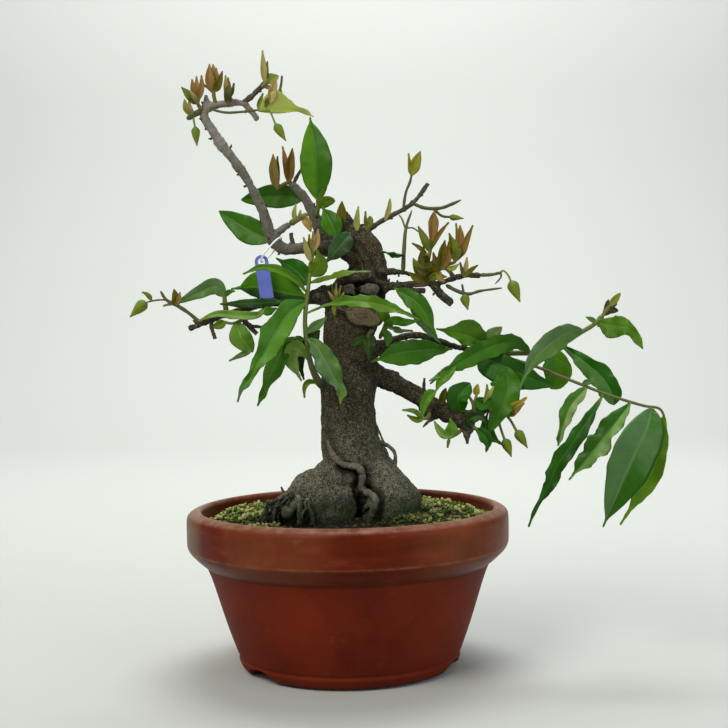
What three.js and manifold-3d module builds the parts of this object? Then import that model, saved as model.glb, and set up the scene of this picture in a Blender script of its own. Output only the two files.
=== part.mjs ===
// A small bonsai of a wild persimmon in a round clay training pot, in millimetres, +Z up.
// The pot stands on its foot ring; the plant grows from soil that fills the pot.
import * as THREE from "three";
import { mergeVertices } from "three/addons/utils/BufferGeometryUtils.js";
import Module from "manifold-3d";

const wasm = await Module();
wasm.setup();

// Driving dimensions
const potHeight = 76;
const bandRadius = 78.5;
const bandFoot = 50.8;
const bodyTopRadius = 69.2;
const footRadius = 49;
const footRingWidth = 6;
const footRecess = 3.5;
const wallThickness = 7;
const floorThickness = 9;
const drainRadius = 9;
const notchWidth = 23;
const notchHeight = 5.5;
const notchBearings = [-52, 70, 190];
const potSegments = 32;
const soilSegments = 26;
const soilDepthBelowRim = 5.5;
const soilMound = 4.5;
const grainHeight = 1.5;
const bladeThickness = 0.7;
const stalkWidth = 1.1;
const gap = 0.32;
const sliver = 0.2;
const tagWidth = 6.5;
const tagLength = 21;
const tagThickness = 0.8;
const tagHoleRadius = 1.7;
const tieRadius = 0.42;
const tieHalfWidth = 5.2;
const branchClearance = 4.2;

// Places on the plant are [across, down, depth]. Across and down are read in a front view
// that is frontWidth units wide, and depth is in millimetres behind the pot's axis.
const frontWidth = 728;
const eye = new THREE.Vector3(9.2, -634, 163.4);
const eyePitch = THREE.MathUtils.degToRad(1.54);
const eyeRoll = THREE.MathUtils.degToRad(0.95);
const focalUnits = 1300;

const colours = {
  clay: 0x8a3a22,
  soil: 0x8f8450,
  bark: 0x5b5248,
  mature: 0x3a7420,
  bright: 0x5f9020,
  blueGreen: 0x3f6f42,
  dark: 0x25491c,
  young: 0x8d9a3a,
  bronze: 0x8f6a2c,
  flowerBud: 0x6f9440,
  tag: 0x5f70c4,
  tie: 0xe6e6e2,
};

function spot([across, down, depth]) {
  const right = across - frontWidth / 2;
  const below = down - frontWidth / 2;
  const sideways = right * Math.cos(eyeRoll) - below * Math.sin(eyeRoll);
  const drop = right * Math.sin(eyeRoll) + below * Math.cos(eyeRoll);
  const ray = new THREE.Vector3(
    sideways / focalUnits,
    Math.cos(eyePitch) - (drop / focalUnits) * Math.sin(eyePitch),
    -Math.sin(eyePitch) - (drop / focalUnits) * Math.cos(eyePitch),
  );
  return ray.multiplyScalar((depth - eye.y) / ray.y).add(eye);
}

// Solids and meshes

function toSolid(geometry) {
  geometry.deleteAttribute("normal");
  geometry.deleteAttribute("uv");
  const merged = mergeVertices(geometry, 1e-4);
  return new wasm.Manifold(new wasm.Mesh({
    numProp: 3,
    vertProperties: new Float32Array(merged.attributes.position.array),
    triVerts: new Uint32Array(merged.index.array),
  }));
}

function joined(solids) {
  return wasm.Manifold.union(solids);
}

// The largest piece of a solid, once the slivers that cutting leaves are smoothed away
function largestPiece(solid) {
  const pieces = solid.simplify(sliver).decompose();
  return pieces.reduce((best, piece) => (piece.volume() > best.volume() ? piece : best));
}

function toMesh(name, solid, colour, roughness) {
  const cut = solid.getMesh();
  const geometry = new THREE.BufferGeometry();
  geometry.setAttribute("position", new THREE.BufferAttribute(new Float32Array(cut.vertProperties), 3));
  geometry.setIndex(new THREE.BufferAttribute(new Uint32Array(cut.triVerts), 1));
  geometry.computeVertexNormals();
  const material = new THREE.MeshStandardMaterial({ color: colour, roughness, metalness: 0 });
  const mesh = new THREE.Mesh(geometry, material);
  mesh.name = name;
  return mesh;
}

// A frame on a curve: forward along it, side across it and face towards the viewer,
// turned about forward by roll degrees.
function frameOn(line, along, roll = 0) {
  const centre = line.getPoint(along);
  const forward = line.getTangent(along);
  const towardsEye = eye.clone().sub(centre).normalize();
  const flatSide = forward.clone().cross(towardsEye).normalize();
  const flatFace = flatSide.clone().cross(forward);
  const angle = THREE.MathUtils.degToRad(roll);
  const side = flatSide.clone().multiplyScalar(Math.cos(angle)).addScaledVector(flatFace, Math.sin(angle));
  const face = flatFace.clone().multiplyScalar(Math.cos(angle)).addScaledVector(flatSide, -Math.sin(angle));
  return { centre, forward, side, face };
}

function between(values, along) {
  const place = along * (values.length - 1);
  const low = Math.min(Math.floor(place), values.length - 2);
  return THREE.MathUtils.lerp(values[low], values[low + 1], place - low);
}

// A round limb through places of [across, down, depth, radius]. The relief function
// scales the radius by where a point is along and around the limb.
function limb(places, sides = 6, stepsPerSpan = 1, relief = () => 1) {
  const line = new THREE.CatmullRomCurve3(places.map(spot));
  const radii = places.map((place) => place[3]);
  const steps = (places.length - 1) * stepsPerSpan;
  return (margin) => {
    const tube = new THREE.CylinderGeometry(1, 1, 1, sides, steps);
    const points = tube.attributes.position;
    for (let index = 0; index < points.count; index += 1) {
      const across = points.getX(index);
      const along = points.getY(index) + 0.5;
      const outward = points.getZ(index);
      const frame = frameOn(line, along);
      const radius = between(radii, along) * relief(along, Math.atan2(outward, across)) + margin;
      const place = frame.centre
        .addScaledVector(frame.side, across * radius)
        .addScaledVector(frame.face, outward * radius)
        .addScaledVector(frame.forward, 2 * (along - 0.5) * margin);
      points.setXYZ(index, place.x, place.y, place.z);
    }
    return toSolid(tube);
  };
}

function stem(places) {
  return limb(places, 4, 1);
}

// A pointed oval bud that hangs or stands from its first place to its last.
function bud(from, to, radius) {
  const at = (share) => from.map((value, index) => THREE.MathUtils.lerp(value, to[index], share));
  const swell = [[0, 0.4], [0.14, 0.8], [0.4, 1], [0.72, 0.72], [1, 0.14]];
  return limb(swell.map(([share, size]) => [...at(share), radius * size]), 5, 1);
}

// A waved leaf blade along a midrib through the given places. Left and right scale its
// halves, and both faces are split into the same triangles. A narrow young leaf is a
// keeled boat in section, any other leaf a plate of even thickness.
const leafForm = {
  width: 8,
  left: 1,
  right: 1,
  roll: 0,
  fold: 14,
  wave: 0.7,
  ripples: 2.4,
  widest: 0.42,
  blunt: 0.85,
};
const narrowWidth = 6.2;
const keelThickness = 1.3;

function leafHalfWidth(along, form) {
  const eased = Math.pow(along, Math.log(0.5) / Math.log(form.widest));
  const swell = Math.pow(Math.max(Math.sin(Math.PI * eased), 0), form.blunt);
  return Math.max((form.width / 2) * swell, stalkWidth / 2);
}

function leaf(places, options = {}) {
  const form = { ...leafForm, ...options };
  const line = new THREE.CatmullRomCurve3(places.map(spot));
  const narrow = form.width < narrowWidth;
  const rows = form.steps ?? (narrow ? 3 : 4);
  const fold = THREE.MathUtils.degToRad(form.fold);
  return (margin) => {
    const corners = [];
    const half = (narrow ? keelThickness : bladeThickness) / 2 + margin;
    for (let row = 0; row <= rows; row += 1) {
      const share = row / rows;
      const along = (share + 0.5 - 0.5 * Math.cos(Math.PI * share)) / 2;
      const { centre, forward, side, face } = frameOn(line, along, form.roll);
      centre.addScaledVector(forward, 2 * (share - 0.5) * margin);
      const reach = leafHalfWidth(along, form);
      const ripple = (phase) => Math.sin(2 * Math.PI * form.ripples * along + phase);
      const edge = (direction, scale, phase) => centre.clone()
        .addScaledVector(side, direction * (reach * scale * Math.cos(fold) + margin))
        .addScaledVector(face, reach * scale * Math.sin(fold))
        .addScaledVector(face, form.wave * Math.sin(Math.PI * along) * ripple(phase));
      const left = edge(-1, form.left, 0);
      const right = edge(1, form.right, 2);
      const ring = narrow
        ? [[left, half / 2], [right, half / 2], [centre, -half]]
        : [[left, half], [centre, half], [right, half], [right, -half], [centre, -half], [left, -half]];
      corners.push(ring.map(([point, lift]) => point.clone().addScaledVector(face, lift)));
    }
    return leafSolid(corners);
  };
}

// Joins rings of corners to a closed blade. The first half of a ring is the upper face.
function leafSolid(rings) {
  const ring = rings[0].length;
  const rows = rings.length - 1;
  const last = rows * ring;
  const triangles = [];
  for (let row = 0; row < rows; row += 1) {
    for (let corner = 0; corner < ring; corner += 1) {
      const a = row * ring + corner;
      const b = row * ring + ((corner + 1) % ring);
      const c = a + ring;
      const d = b + ring;
      if (corner < ring / 2) triangles.push(a, b, d, a, d, c);
      else triangles.push(a, b, c, b, d, c);
    }
  }
  const caps = ring === 3 ? [0, 2, 1] : [0, 5, 4, 0, 4, 1, 1, 4, 3, 1, 3, 2];
  triangles.push(...caps);
  triangles.push(...caps.toReversed().map((corner) => last + corner));
  return new wasm.Manifold(new wasm.Mesh({
    numProp: 3,
    vertProperties: new Float32Array(rings.flat().flatMap((point) => point.toArray())),
    triVerts: new Uint32Array(triangles),
  }));
}

function ball([across, down, depth], radii, sides = 8) {
  const sphere = new THREE.SphereGeometry(1, sides, sides / 2);
  const centre = spot([across, down, depth]);
  return (margin) => {
    const copy = sphere.clone();
    copy.scale(radii[0] + margin, radii[1] + margin, radii[2] + margin);
    copy.translate(centre.x, centre.y, centre.z);
    return toSolid(copy);
  };
}

// Pot

function potProfile() {
  const innerRadius = bandRadius - wallThickness;
  return [
    [footRadius - footRingWidth, 0],
    [footRadius, 0],
    [footRadius + 3.4, 1.4],
    [footRadius + 5.3, 5],
    [footRadius + 4.6, 6.4],
    [footRadius + 5.4, 7.6],
    [58.5, 20], [66.3, 44.5],
    [bodyTopRadius, bandFoot],
    [bandRadius - 2.4, bandFoot + 2.6],
    [bandRadius - 0.6, bandFoot + 7],
    [bandRadius, potHeight - 4],
    [bandRadius - 0.9, potHeight - 1.1],
    [bandRadius - 3, potHeight],
    [innerRadius + 1, potHeight - 0.8],
    [innerRadius - 0.4, potHeight - 3],
    [innerRadius - 4, bandFoot],
    [footRadius + 3, floorThickness + 4],
    [footRadius - 2, floorThickness],
    [drainRadius, floorThickness],
    [drainRadius, footRecess],
    [footRadius - footRingWidth - 1, footRecess],
    [footRadius - footRingWidth, 0],
  ].map(([radius, height]) => new THREE.Vector2(radius, height));
}

function potSolid() {
  const turned = new THREE.LatheGeometry(potProfile(), potSegments);
  turned.rotateX(Math.PI / 2);
  const body = toSolid(turned);
  const notches = notchBearings.map((bearing) => {
    const notch = new THREE.CylinderGeometry(notchHeight, notchHeight, footRingWidth * 3, 10);
    notch.scale(notchWidth / (2 * notchHeight), 1, 1);
    notch.translate(0, -footRadius - 1, 0);
    notch.rotateZ(THREE.MathUtils.degToRad(bearing));
    return toSolid(notch);
  });
  return body.subtract(joined(notches));
}

// Soil: a disc that fills the pot, mounded to the middle, with a grainy top

function soilHeight(radius, bearing, rimRadius) {
  const mound = soilMound * Math.pow(1 - Math.min(radius / rimRadius, 1), 1.2);
  const coarse = Math.sin(radius * 0.93 + bearing * 17) * Math.cos(bearing * 23 - radius * 0.41);
  const fine = Math.sin(radius * 2.3 - bearing * 31);
  return potHeight - soilDepthBelowRim + mound + grainHeight * (0.6 * coarse + 0.4 * fine);
}

function soilSolid(holes) {
  const rimRadius = bandRadius - wallThickness - 1.5;
  const topRows = 6;
  const profile = [new THREE.Vector2(0, floorThickness + gap)];
  profile.push(new THREE.Vector2(footRadius - 2.5, floorThickness + gap));
  profile.push(new THREE.Vector2(footRadius + 2.4, floorThickness + 4.4));
  profile.push(new THREE.Vector2(bandRadius - wallThickness - 4.6, bandFoot));
  profile.push(new THREE.Vector2(rimRadius - 0.5, potHeight - soilDepthBelowRim - 3));
  const firstTopRow = profile.length;
  for (let row = topRows; row >= 0; row -= 1) {
    profile.push(new THREE.Vector2((rimRadius * row) / topRows, potHeight - soilDepthBelowRim));
  }
  const turned = new THREE.LatheGeometry(profile, soilSegments);
  const points = turned.attributes.position;
  const rowLength = profile.length;
  for (let index = 0; index < points.count; index += 1) {
    if (index % rowLength < firstTopRow) continue;
    const radius = Math.hypot(points.getX(index), points.getZ(index));
    const bearing = Math.atan2(points.getZ(index), points.getX(index));
    const steady = radius < 0.01 ? 0 : bearing;
    points.setY(index, soilHeight(radius, Math.abs(steady), rimRadius));
  }
  turned.rotateX(Math.PI / 2);
  return largestPiece(toSolid(turned).subtract(holes));
}

// Wood: the trunk with its root flare, all woody branches and the surface roots

function trunkRelief(along, around) {
  const flutes = 0.05 * Math.sin(3 * around + 9 * along) + 0.03 * Math.sin(5 * around - 21 * along);
  return 1 + flutes;
}

const woodParts = [
  limb([[352, 536, 6, 17], [353, 500, 6, 17], [356, 480, 4, 17], [356.5, 466, 1, 16.2],
    [352.5, 453, -1, 14.4], [350.5, 438, -1, 13.7], [348, 405, 0, 12.9], [349, 385, 1, 13.8],
    [348.5, 360, 2, 11.6],
    [349.5, 330, 1, 12.4], [354, 310, 0, 14], [361, 290, 1, 12.9], [366.5, 275, 3, 10.5], [365, 260, 3, 9.8],
    [361.5, 250, 4, 9.4], [354, 240, 4, 8.2], [347, 230, 4, 6], [345.5, 220, 4, 3.8], [344.5, 211, 4, 1.6]],
  12, 1, trunkRelief),
  limb([[328, 460, -6, 4], [327, 470, -7, 8.5], [325, 480, -8, 14.5], [325, 495, -9, 17.4],
    [325, 512, -9, 17], [326, 536, -9, 14]], 10),
  limb([[341, 438, -3, 6], [339, 459, -6, 7], [327, 488, -10, 12]], 8),
  limb([[366, 448, -3, 4.5], [376, 466, -5, 6.4], [386, 480, -7, 10.2], [391, 500, -9, 14.8],
    [392, 522, -10, 14.6], [392, 540, -10, 11]], 10),
  limb([[348, 452, 8, 8], [341, 478, 18, 11], [331, 502, 25, 12], [324, 530, 31, 8]], 8),
  limb([[366, 450, 8, 6.5], [379, 478, 18, 11], [390, 502, 25, 12], [394, 532, 30, 8]], 8),
  limb([[334, 447, -12.6, 2.6], [341, 461, -17, 1.8], [350, 465.5, -17.9, 1.7], [359, 468, -18.4, 1.8],
    [362.5, 475, -18, 1.7], [361.5, 484, -16.8, 1.7], [368, 493, -19.4, 1.8], [375, 499, -23.2, 2],
    [373, 509, -23.2, 1.8], [369, 527, -21.4, 1.7]], 5),
  limb([[303, 484, -14, 3], [291, 496, -17, 3.4], [284, 512, -19, 4.4], [283, 528, -20, 4]], 7),
  stem([[296, 491, -20, 1.6], [280, 494, -24, 1.3], [268, 502, -27, 1.2], [258, 518, -29, 1]]),
  stem([[300, 496, -23, 1.6], [302, 506, -27, 1.3], [299, 524, -29, 1.1]]),
  stem([[292, 500, -21, 1.5], [277, 507, -27, 1.2], [267, 516, -30, 1.2], [261, 528, -32, 1]]),
  stem([[309, 500, -24, 1.2], [310, 510, -27, 1], [306, 526, -29, 1]]),
  stem([[372, 437, -2, 1], [381, 442.5, -3, 1], [388, 446, -4, 1], [393.5, 450.5, -5, 1], [395.5, 457, -6, 1],
    [392, 473, -6, 1.1]]),
  limb([[346, 262, 0, 6.5], [335, 250, -3, 4.6], [318, 248.5, -5, 3.5], [303, 248, -6, 3], [285, 249, -8, 3],
    [272, 240, -10, 2.9], [266, 222, -12, 2.9], [260, 205, -14, 2.8], [250, 185, -16, 2.7],
    [235, 162, -18, 2.7],
    [222, 145, -20, 2.7], [212, 130, -21, 2.5], [204, 115, -22, 2.4], [206, 103, -22, 1.9],
    [206, 94, -22, 1.1]]),
  limb([[203, 110, -22, 2.2], [214, 105, -22, 1.9], [230, 103.5, -23, 1.8], [247, 103, -24, 1.8]], 5),
  stem([[243, 104, -24, 1.4], [252, 96, -25, 1.2], [259, 89, -25, 1.2], [265, 83, -26, 1.1]]),
  stem([[243, 102, -24, 1.6], [250, 110, -23, 1.6], [258, 120, -22, 1.5]]),
  stem([[272, 238, -10, 2], [280, 231, -9, 1.7], [290, 224, -7, 1.6]]),
  stem([[294, 248, -6, 1.3], [292, 240, -7, 1], [291, 233, -8, 0.8]]),
  limb([[332, 252, 3, 5], [322, 235, 6, 3.8], [313, 213, 10, 2.8], [303, 196, 13, 2.4], [291, 184, 15, 2]]),
  stem([[292, 186, 15, 0.9], [298, 175, 15, 0.8], [304, 165, 16, 0.7]]),
  stem([[356, 243, 2, 3], [367, 231, 4, 1.6], [380, 222, 7, 1.3], [400, 211, 12, 1.2], [413, 203, 15, 1.1],
    [428, 184, 19, 0.9]]),
  stem([[350, 229, 1, 1.4], [357, 226.5, -1, 0.8], [364, 225, -2, 0.6]]),
  stem([[362, 276, 0, 5], [388, 272, -6, 2], [400, 272, -9, 1.6], [412, 274, -11, 1.3]]),
  limb([[366, 292, -3, 6], [388, 286, -8, 2.6], [400, 285, -11, 1.7], [420, 284, -14, 1.5],
    [440, 283, -17, 1.5], [462, 276, -20, 1.3], [480, 275, -22, 1.1]], 5),
  limb([[430, 282, -16, 2], [440, 293, -16, 2.3], [452, 305, -16, 2]], 5),
  stem([[398, 286, -10, 1.3], [412, 290, -13, 1.3], [425, 291, -15, 1.3]]),
  limb([[362, 352, 4, 7], [385, 345, 4, 2.6], [397, 339, 4, 1.8], [415, 335, 5, 1.6], [440, 342, 6, 1.7],
    [470, 350, 7, 1.6], [500, 353, 8, 1.5]]),
  limb([[360, 364, 6, 8], [375, 374, 5, 5.6], [400, 385, 3, 4.5], [430, 404, -1, 4.6], [455, 418, -5, 4],
    [466, 426, -7, 3.6], [473, 432, -8, 2.2]], 7),
  limb([[424, 402, 0, 4.2], [432, 412, -1, 4.4], [437, 417, -2, 2.6]]),
  stem([[452, 417, -4, 3.4], [470, 414, -7, 2.5], [490, 409, -10, 1.7]]),
  stem([[466, 428, -7, 2.5], [467, 436, -8, 1.5], [467.5, 444, -8, 0.5]]),
  stem([[423.5, 392, 0, 1], [424.5, 378, 0, 0.5]]),
  stem([[438, 416, -2, 1.3], [430, 420, -2, 0.9], [423, 427, -2, 0.5]]),
  limb([[344, 300, -2, 9], [330, 297, -6, 6], [316, 296, -9, 4], [300, 302, -11, 2], [280, 303, -12, 1.8],
    [262, 304, -13, 1.8], [245, 309, -14, 1.8], [228, 314, -15, 1.7], [210, 320, -16, 1.7],
    [189, 329, -17, 1.6]]),
  stem([[211, 320, -16, 1.1], [212, 328, -16, 1], [215, 339, -16, 0.9]]),
  stem([[246, 309, -14, 1.4], [243, 318, -14, 1.2], [250, 327, -15, 1.2], [257, 334, -15, 1.1]]),
  stem([[249, 326, -15, 0.9], [255, 326.5, -15, 0.8], [262, 327, -16, 0.7]]),
  ball([350, 290, -11], [4.4, 4, 3.6]),
  ball([368, 289, -11], [4.8, 4, 3.8]),
];

// An old pruning cut, an oval flat face that stands a little proud of the trunk.
function pruningScar(margin) {
  const disc = new THREE.CylinderGeometry(1.1, 1, 8 + 2 * margin, 14);
  disc.scale(9.6 + margin, 1, 4.4 + margin);
  disc.rotateY(THREE.MathUtils.degToRad(10));
  const centre = spot([363, 317, -9.4]);
  disc.translate(centre.x, centre.y, centre.z);
  return toSolid(disc);
}

function woodSolid(margin) {
  const whole = joined([...woodParts.map((part) => part(margin)), pruningScar(margin)]);
  if (margin > 0) return whole;
  const hollow = ball([362, 286, -16], [10, 6.5, 4], 12)(0);
  const knobs = joined(woodParts.slice(-2).map((part) => part(0)));
  return largestPiece(whole.subtract(hollow.subtract(knobs)));
}

// Leafy shoots: each is one solid, its stems, leaves and buds joined

const shoots = [
  ["shoot_front_left", colours.mature, [
    stem([[321, 387, -7, 2], [312, 368, -12, 1.6], [307, 345, -15, 1.3], [305, 320, -16, 1.2],
      [308, 290, -15, 1.1], [311, 265, -14, 1], [315, 240, -13, 0.8]]),
    leaf([[306.5, 301, -15.4], [286, 320, -23], [269, 345, -27], [254, 373, -29], [238.5, 400, -27]],
      { width: 14, widest: 0.28, steps: 6, wave: 1.3, ripples: 3.2, roll: 10 }),
    leaf([[311.5, 366, -12.4], [298, 350, -18], [284, 347, -21], [275, 362, -22], [268, 382, -21],
      [258, 406, -18]],
      { width: 10, widest: 0.68, steps: 5, wave: 0.8 }),
    leaf([[311, 363, -12.6], [298, 352, -16], [299, 366, -16], [302, 382, -15]],
      { width: 8, widest: 0.6, fold: 34 }),
    leaf([[319, 383, -8.2], [308, 382, -14], [304.5, 388, -15], [304.5, 398, -15]],
      { width: 2.8, wave: 0.3 }),
    leaf([[306.5, 338, -15.2], [319, 352, -19.5], [328, 369, -22], [337, 386, -22], [342, 404, -21]],
      { width: 10.5, wave: 1.2, ripples: 3, steps: 6, widest: 0.5 }),
    leaf([[305.5, 314, -15.8], [328, 304.5, -24], [350, 301, -29], [375, 303.5, -30], [396, 309.5, -29],
      [420, 320, -26]],
      { width: 7.4, widest: 0.55, wave: 1.2, ripples: 3, steps: 6, roll: 18 }),
    leaf([[309, 283, -14.7], [330, 278.5, -19], [350, 273, -21], [371, 272, -20]],
      { width: 6.4, roll: 62, wave: 0.4 }),
    leaf([[306, 333, -15.5], [317, 325, -18], [327, 317, -18]], { width: 4.5, wave: 0.4 }),
    leaf([[310, 276, -14.4], [319, 264, -16], [317, 249, -16]], { width: 9, wave: 0.5 }),
    leaf([[311, 262, -14], [307, 250, -15], [303.5, 237, -15]], { width: 4, wave: 0.3 }),
    leaf([[313, 252, -13.6], [317, 241, -15], [318, 229, -15]], { width: 4.4, fold: 30, wave: 0.3 }),
    leaf([[308.5, 285, -14.9], [296, 271, -13], [276, 258, -12]], { width: 12, widest: 0.45, wave: 0.8 }),
    leaf([[307, 297, -15.2], [285, 293, -9], [258, 287, -8], [231, 289, -9]],
      { width: 17.5, widest: 0.55, left: 0.8, right: 1.15, steps: 6, wave: 0.7, fold: 6 }),
    leaf([[307.5, 294, -15.1], [297, 281, -21], [280, 270.5, -23], [262, 267, -23], [243, 274, -20]],
      { width: 4.2, wave: 0.4, steps: 5, widest: 0.5 }),
  ]],
  ["shoot_right_upper", colours.mature, [
    stem([[497, 353, 8, 1.5], [520, 353, 9, 1.4], [540, 352, 10, 1.3], [560, 345, 12, 1.3],
      [580, 333, 14, 1.2], [597, 322, 15, 1.1], [611, 304, 16, 0.8]]),
    leaf([[531, 352, 9.6], [508, 343, 1], [480, 355.5, -5], [454, 371.5, -9], [437, 386, -11],
      [428.5, 400, -12], [424, 418, -12]],
      { width: 10.5, widest: 0.36, steps: 7, wave: 1, ripples: 3.5, roll: 15 }),
    leaf([[463, 365.5, -7.2], [446, 370, -9], [430, 384, -9]], { width: 3, wave: 0.2 }),
    leaf([[584, 331, 14], [568, 333, 4], [548, 346, -5], [532, 362, -10], [519, 390, -12]],
      { width: 11.5, widest: 0.5, steps: 5, wave: 1, roll: 8 }),
    leaf([[551, 350, 11], [556, 362, 9], [557, 375, 8], [551, 389, 9]],
      { width: 15.5, widest: 0.5, blunt: 0.6, steps: 5, wave: 0.7, ripples: 2 }),
    leaf([[560, 345, 12], [573, 353, 8], [588, 365, 4], [602, 378, 2], [611, 392, 1], [614, 405, 2]],
      { width: 11.5, widest: 0.64, blunt: 0.6, steps: 6, wave: 1.1, ripples: 3 }),
    leaf([[597, 322, 15], [613, 325.5, 12], [630, 329, 9], [643, 349, 8]],
      { width: 10.5, wave: 1.3, ripples: 2.8, steps: 6, widest: 0.45 }),
    leaf([[608, 308, 15.9], [616, 299, 15], [622, 292, 15]], { width: 5, wave: 0.3, blunt: 0.6 }),
    leaf([[603, 315, 15.6], [611, 309, 18], [619, 311, 19]], { width: 6, wave: 0.9, blunt: 0.5 }),
    leaf([[597, 322, 15], [591, 319, 14], [586, 317, 14]], { width: 2.6, wave: 0.2, steps: 2 }),
  ]],
  ["shoot_right_lower", colours.mature, [
    stem([[503, 357, 7, 1], [520, 361.5, 4, 0.95], [540, 368, 0, 0.9], [565, 378, -6, 0.85],
      [585, 386, -11, 0.85],
      [603, 393, -15, 0.8], [624, 400, -19, 0.8], [645, 406, -22, 0.75], [660, 409, -24, 0.7],
      [666, 422, -24, 0.5]]),
    leaf([[587, 386.8, -11.4], [571, 405, -14], [563, 425, -14], [558, 446, -13]],
      { width: 6.6, wave: 0.9, ripples: 3, widest: 0.35 }),
    leaf([[604, 393.3, -15.2], [587, 418, -18.5], [569, 444, -19.5], [554, 466, -18],
      [546, 488, -15.5], [537, 508, -13.5], [528, 527, -12]],
      { width: 10, widest: 0.42, steps: 7, wave: 1, ripples: 4 }),
    leaf([[631, 402, -20.1], [608, 432, -25], [588, 457, -26], [569, 480, -24]],
      { width: 13, widest: 0.48, steps: 6, wave: 1.2, ripples: 3, roll: -12 }),
    leaf([[652, 407.4, -23], [646, 430, -30], [632, 460, -33], [618, 492, -31], [603, 527, -26]],
      { width: 21.5, widest: 0.48, steps: 6, wave: 0.8, ripples: 2, fold: 20 }),
    leaf([[664, 415, -24.1], [660, 440, -22], [655, 465, -18], [645, 487, -15], [633, 505, -14],
      [620, 525, -14]],
      { width: 10, widest: 0.42, steps: 6, wave: 1, ripples: 3 }),
    leaf([[582, 385, -10.4], [588, 382, -13], [596, 383, -13]], { width: 3, wave: 0.3, steps: 2 }),
  ]],
  ["leaf_crown", colours.mature, [
    stem([[316, 217, 6, 1.3], [318, 207, 5, 1], [317, 197, 4, 0.7]]),
    leaf([[317, 200, 4.3], [316, 160, 2], [310, 117, 8]],
      { width: 16.5, widest: 0.47, steps: 6, wave: 0.5, fold: 18 }),
    leaf([[317.5, 202, 4.5], [323, 192, 3], [328, 183, 3]], { width: 2.6, wave: 0.2, steps: 2 }),
    leaf([[318, 207, 5], [327, 201, 3], [335, 201, 4]], { width: 5.6, blunt: 0.5, wave: 0.3 }),
  ]],
  ["leaf_crown_back", colours.mature, [
    leaf([[338, 238, -5], [331, 223, -4], [322, 206, 0]], { width: 11, widest: 0.5, wave: 0.5 }),
  ]],
  ["leaf_top_front", colours.blueGreen, [
    leaf([[350, 233, -3], [338, 249, -11], [324, 264, -15]], { width: 10.5, widest: 0.42, wave: 0.6 }),
  ]],
  ["leaf_upper_left", colours.mature, [
    leaf([[304, 198, 16], [275, 196, 20], [241, 200, 18]],
      { width: 12.5, widest: 0.45, steps: 6, wave: 0.5 }),
  ]],
  ["leaf_left_upper", colours.mature, [
    leaf([[271, 240.5, -8], [247, 229, -4], [219, 211, 0]],
      { width: 13, widest: 0.42, steps: 6, wave: 0.8, ripples: 2.2 }),
  ]],
  ["buds_upper_left", colours.bronze, [
    stem([[291, 182, 15, 1.2], [284, 184, 14, 0.9], [276, 190, 13, 0.7]]),
    leaf([[277, 189, 13.2], [274, 172, 12], [273, 154, 12]], { width: 6, fold: 32, wave: 0.3 }),
    leaf([[277.5, 189, 13.2], [277, 172, 14.5], [277.5, 156, 14.5]], { width: 3.4, fold: 20, wave: 0.2 }),
    leaf([[288, 183, 14.6], [286, 165, 15], [282.5, 146, 16]], { width: 3.4, fold: 20, wave: 0.2 }),
    leaf([[289, 182.5, 14.8], [290.5, 165, 13], [292.5, 148, 13]], { width: 5.6, fold: 32, wave: 0.3 }),
  ]],
  ["buds_inner_left", colours.young, [
    stem([[290, 224, -7, 1.6], [298, 219, -6, 1.4], [308, 214, -3, 1.2]]),
    leaf([[295, 221, -6.4], [294, 213, -8], [296, 204, -8]], { width: 2.8, fold: 24, wave: 0.2 }),
    leaf([[298, 219, -6], [300, 214, -8.5], [300.5, 210, -9]], { width: 1.8, wave: 0.1, steps: 2 }),
    leaf([[303, 216.5, -4.5], [308, 224, -8], [311, 232, -8]], { width: 4.6, fold: 24, wave: 0.3 }),
  ]],
  ["buds_top_left", colours.bronze, [
    limb([[202, 111, -23, 1.9], [195, 114, -24, 1.6], [187, 119, -25, 1.2]], 6, 1),
    stem([[202, 110, -24, 1.1], [198, 104, -25, 0.8], [199, 98, -25, 0.7]]),
    leaf([[199, 100, -25], [194, 91, -27], [192, 79, -27]], { width: 4.6, fold: 26, wave: 0.2 }),
    leaf([[199, 100, -25], [197, 90, -24], [196.5, 76, -23]], { width: 4.2, fold: 26, wave: 0.2 }),
    leaf([[199, 100, -25], [201.5, 88, -26], [201.5, 75, -26]], { width: 3.4, fold: 26, wave: 0.2 }),
    leaf([[198, 104, -25], [190, 96, -29], [181.5, 87, -29]], { width: 5, fold: 16, wave: 0.4 }),
    leaf([[192, 115.5, -24.4], [186, 108, -26], [184.5, 99, -26]], { width: 3.8, fold: 26, wave: 0.3 }),
    leaf([[193, 115, -24.3], [190, 109, -27], [189, 101, -27]], { width: 3.6, fold: 26, wave: 0.3 }),
    stem([[193, 115, -24.3, 0.8], [194, 122, -25, 0.7], [195.5, 129, -25, 0.7]]),
    bud([195.2, 127, -25], [197, 146, -25], 2.05),
  ]],
  ["buds_top_middle", colours.bronze, [
    stem([[216, 104, -23, 1], [214, 97, -24, 0.9], [213.5, 90, -25, 0.8]]),
    stem([[213.7, 93, -24.6, 0.7], [208, 88, -24, 0.6], [203, 84, -24, 0.5]]),
    leaf([[213.5, 92, -24.7], [209.5, 79, -26], [209.5, 64, -25]], { width: 5, fold: 30, wave: 0.3 }),
    leaf([[213.5, 92, -24.7], [214.5, 78, -24], [213, 64, -23]], { width: 5.4, fold: 30, wave: 0.3 }),
    leaf([[213.7, 92, -24.7], [218, 84, -26], [222.5, 71, -26]], { width: 4.4, fold: 30, wave: 0.3 }),
  ]],
  ["buds_top_small", colours.bronze, [
    stem([[228, 106, -24, 1], [228, 98, -26, 1], [228, 92, -27, 0.9]]),
    leaf([[228, 101, -25.2], [226, 88, -26], [225.5, 74, -26]], { width: 3.2, fold: 26, wave: 0.2 }),
    leaf([[228, 101, -25.2], [229, 89, -24], [228.5, 76, -24]], { width: 3.2, fold: 26, wave: 0.2 }),
    leaf([[228, 102, -25], [228, 94, -29], [229, 85, -28]], { width: 5.4, blunt: 0.5, fold: 26, wave: 0.2 }),
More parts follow.
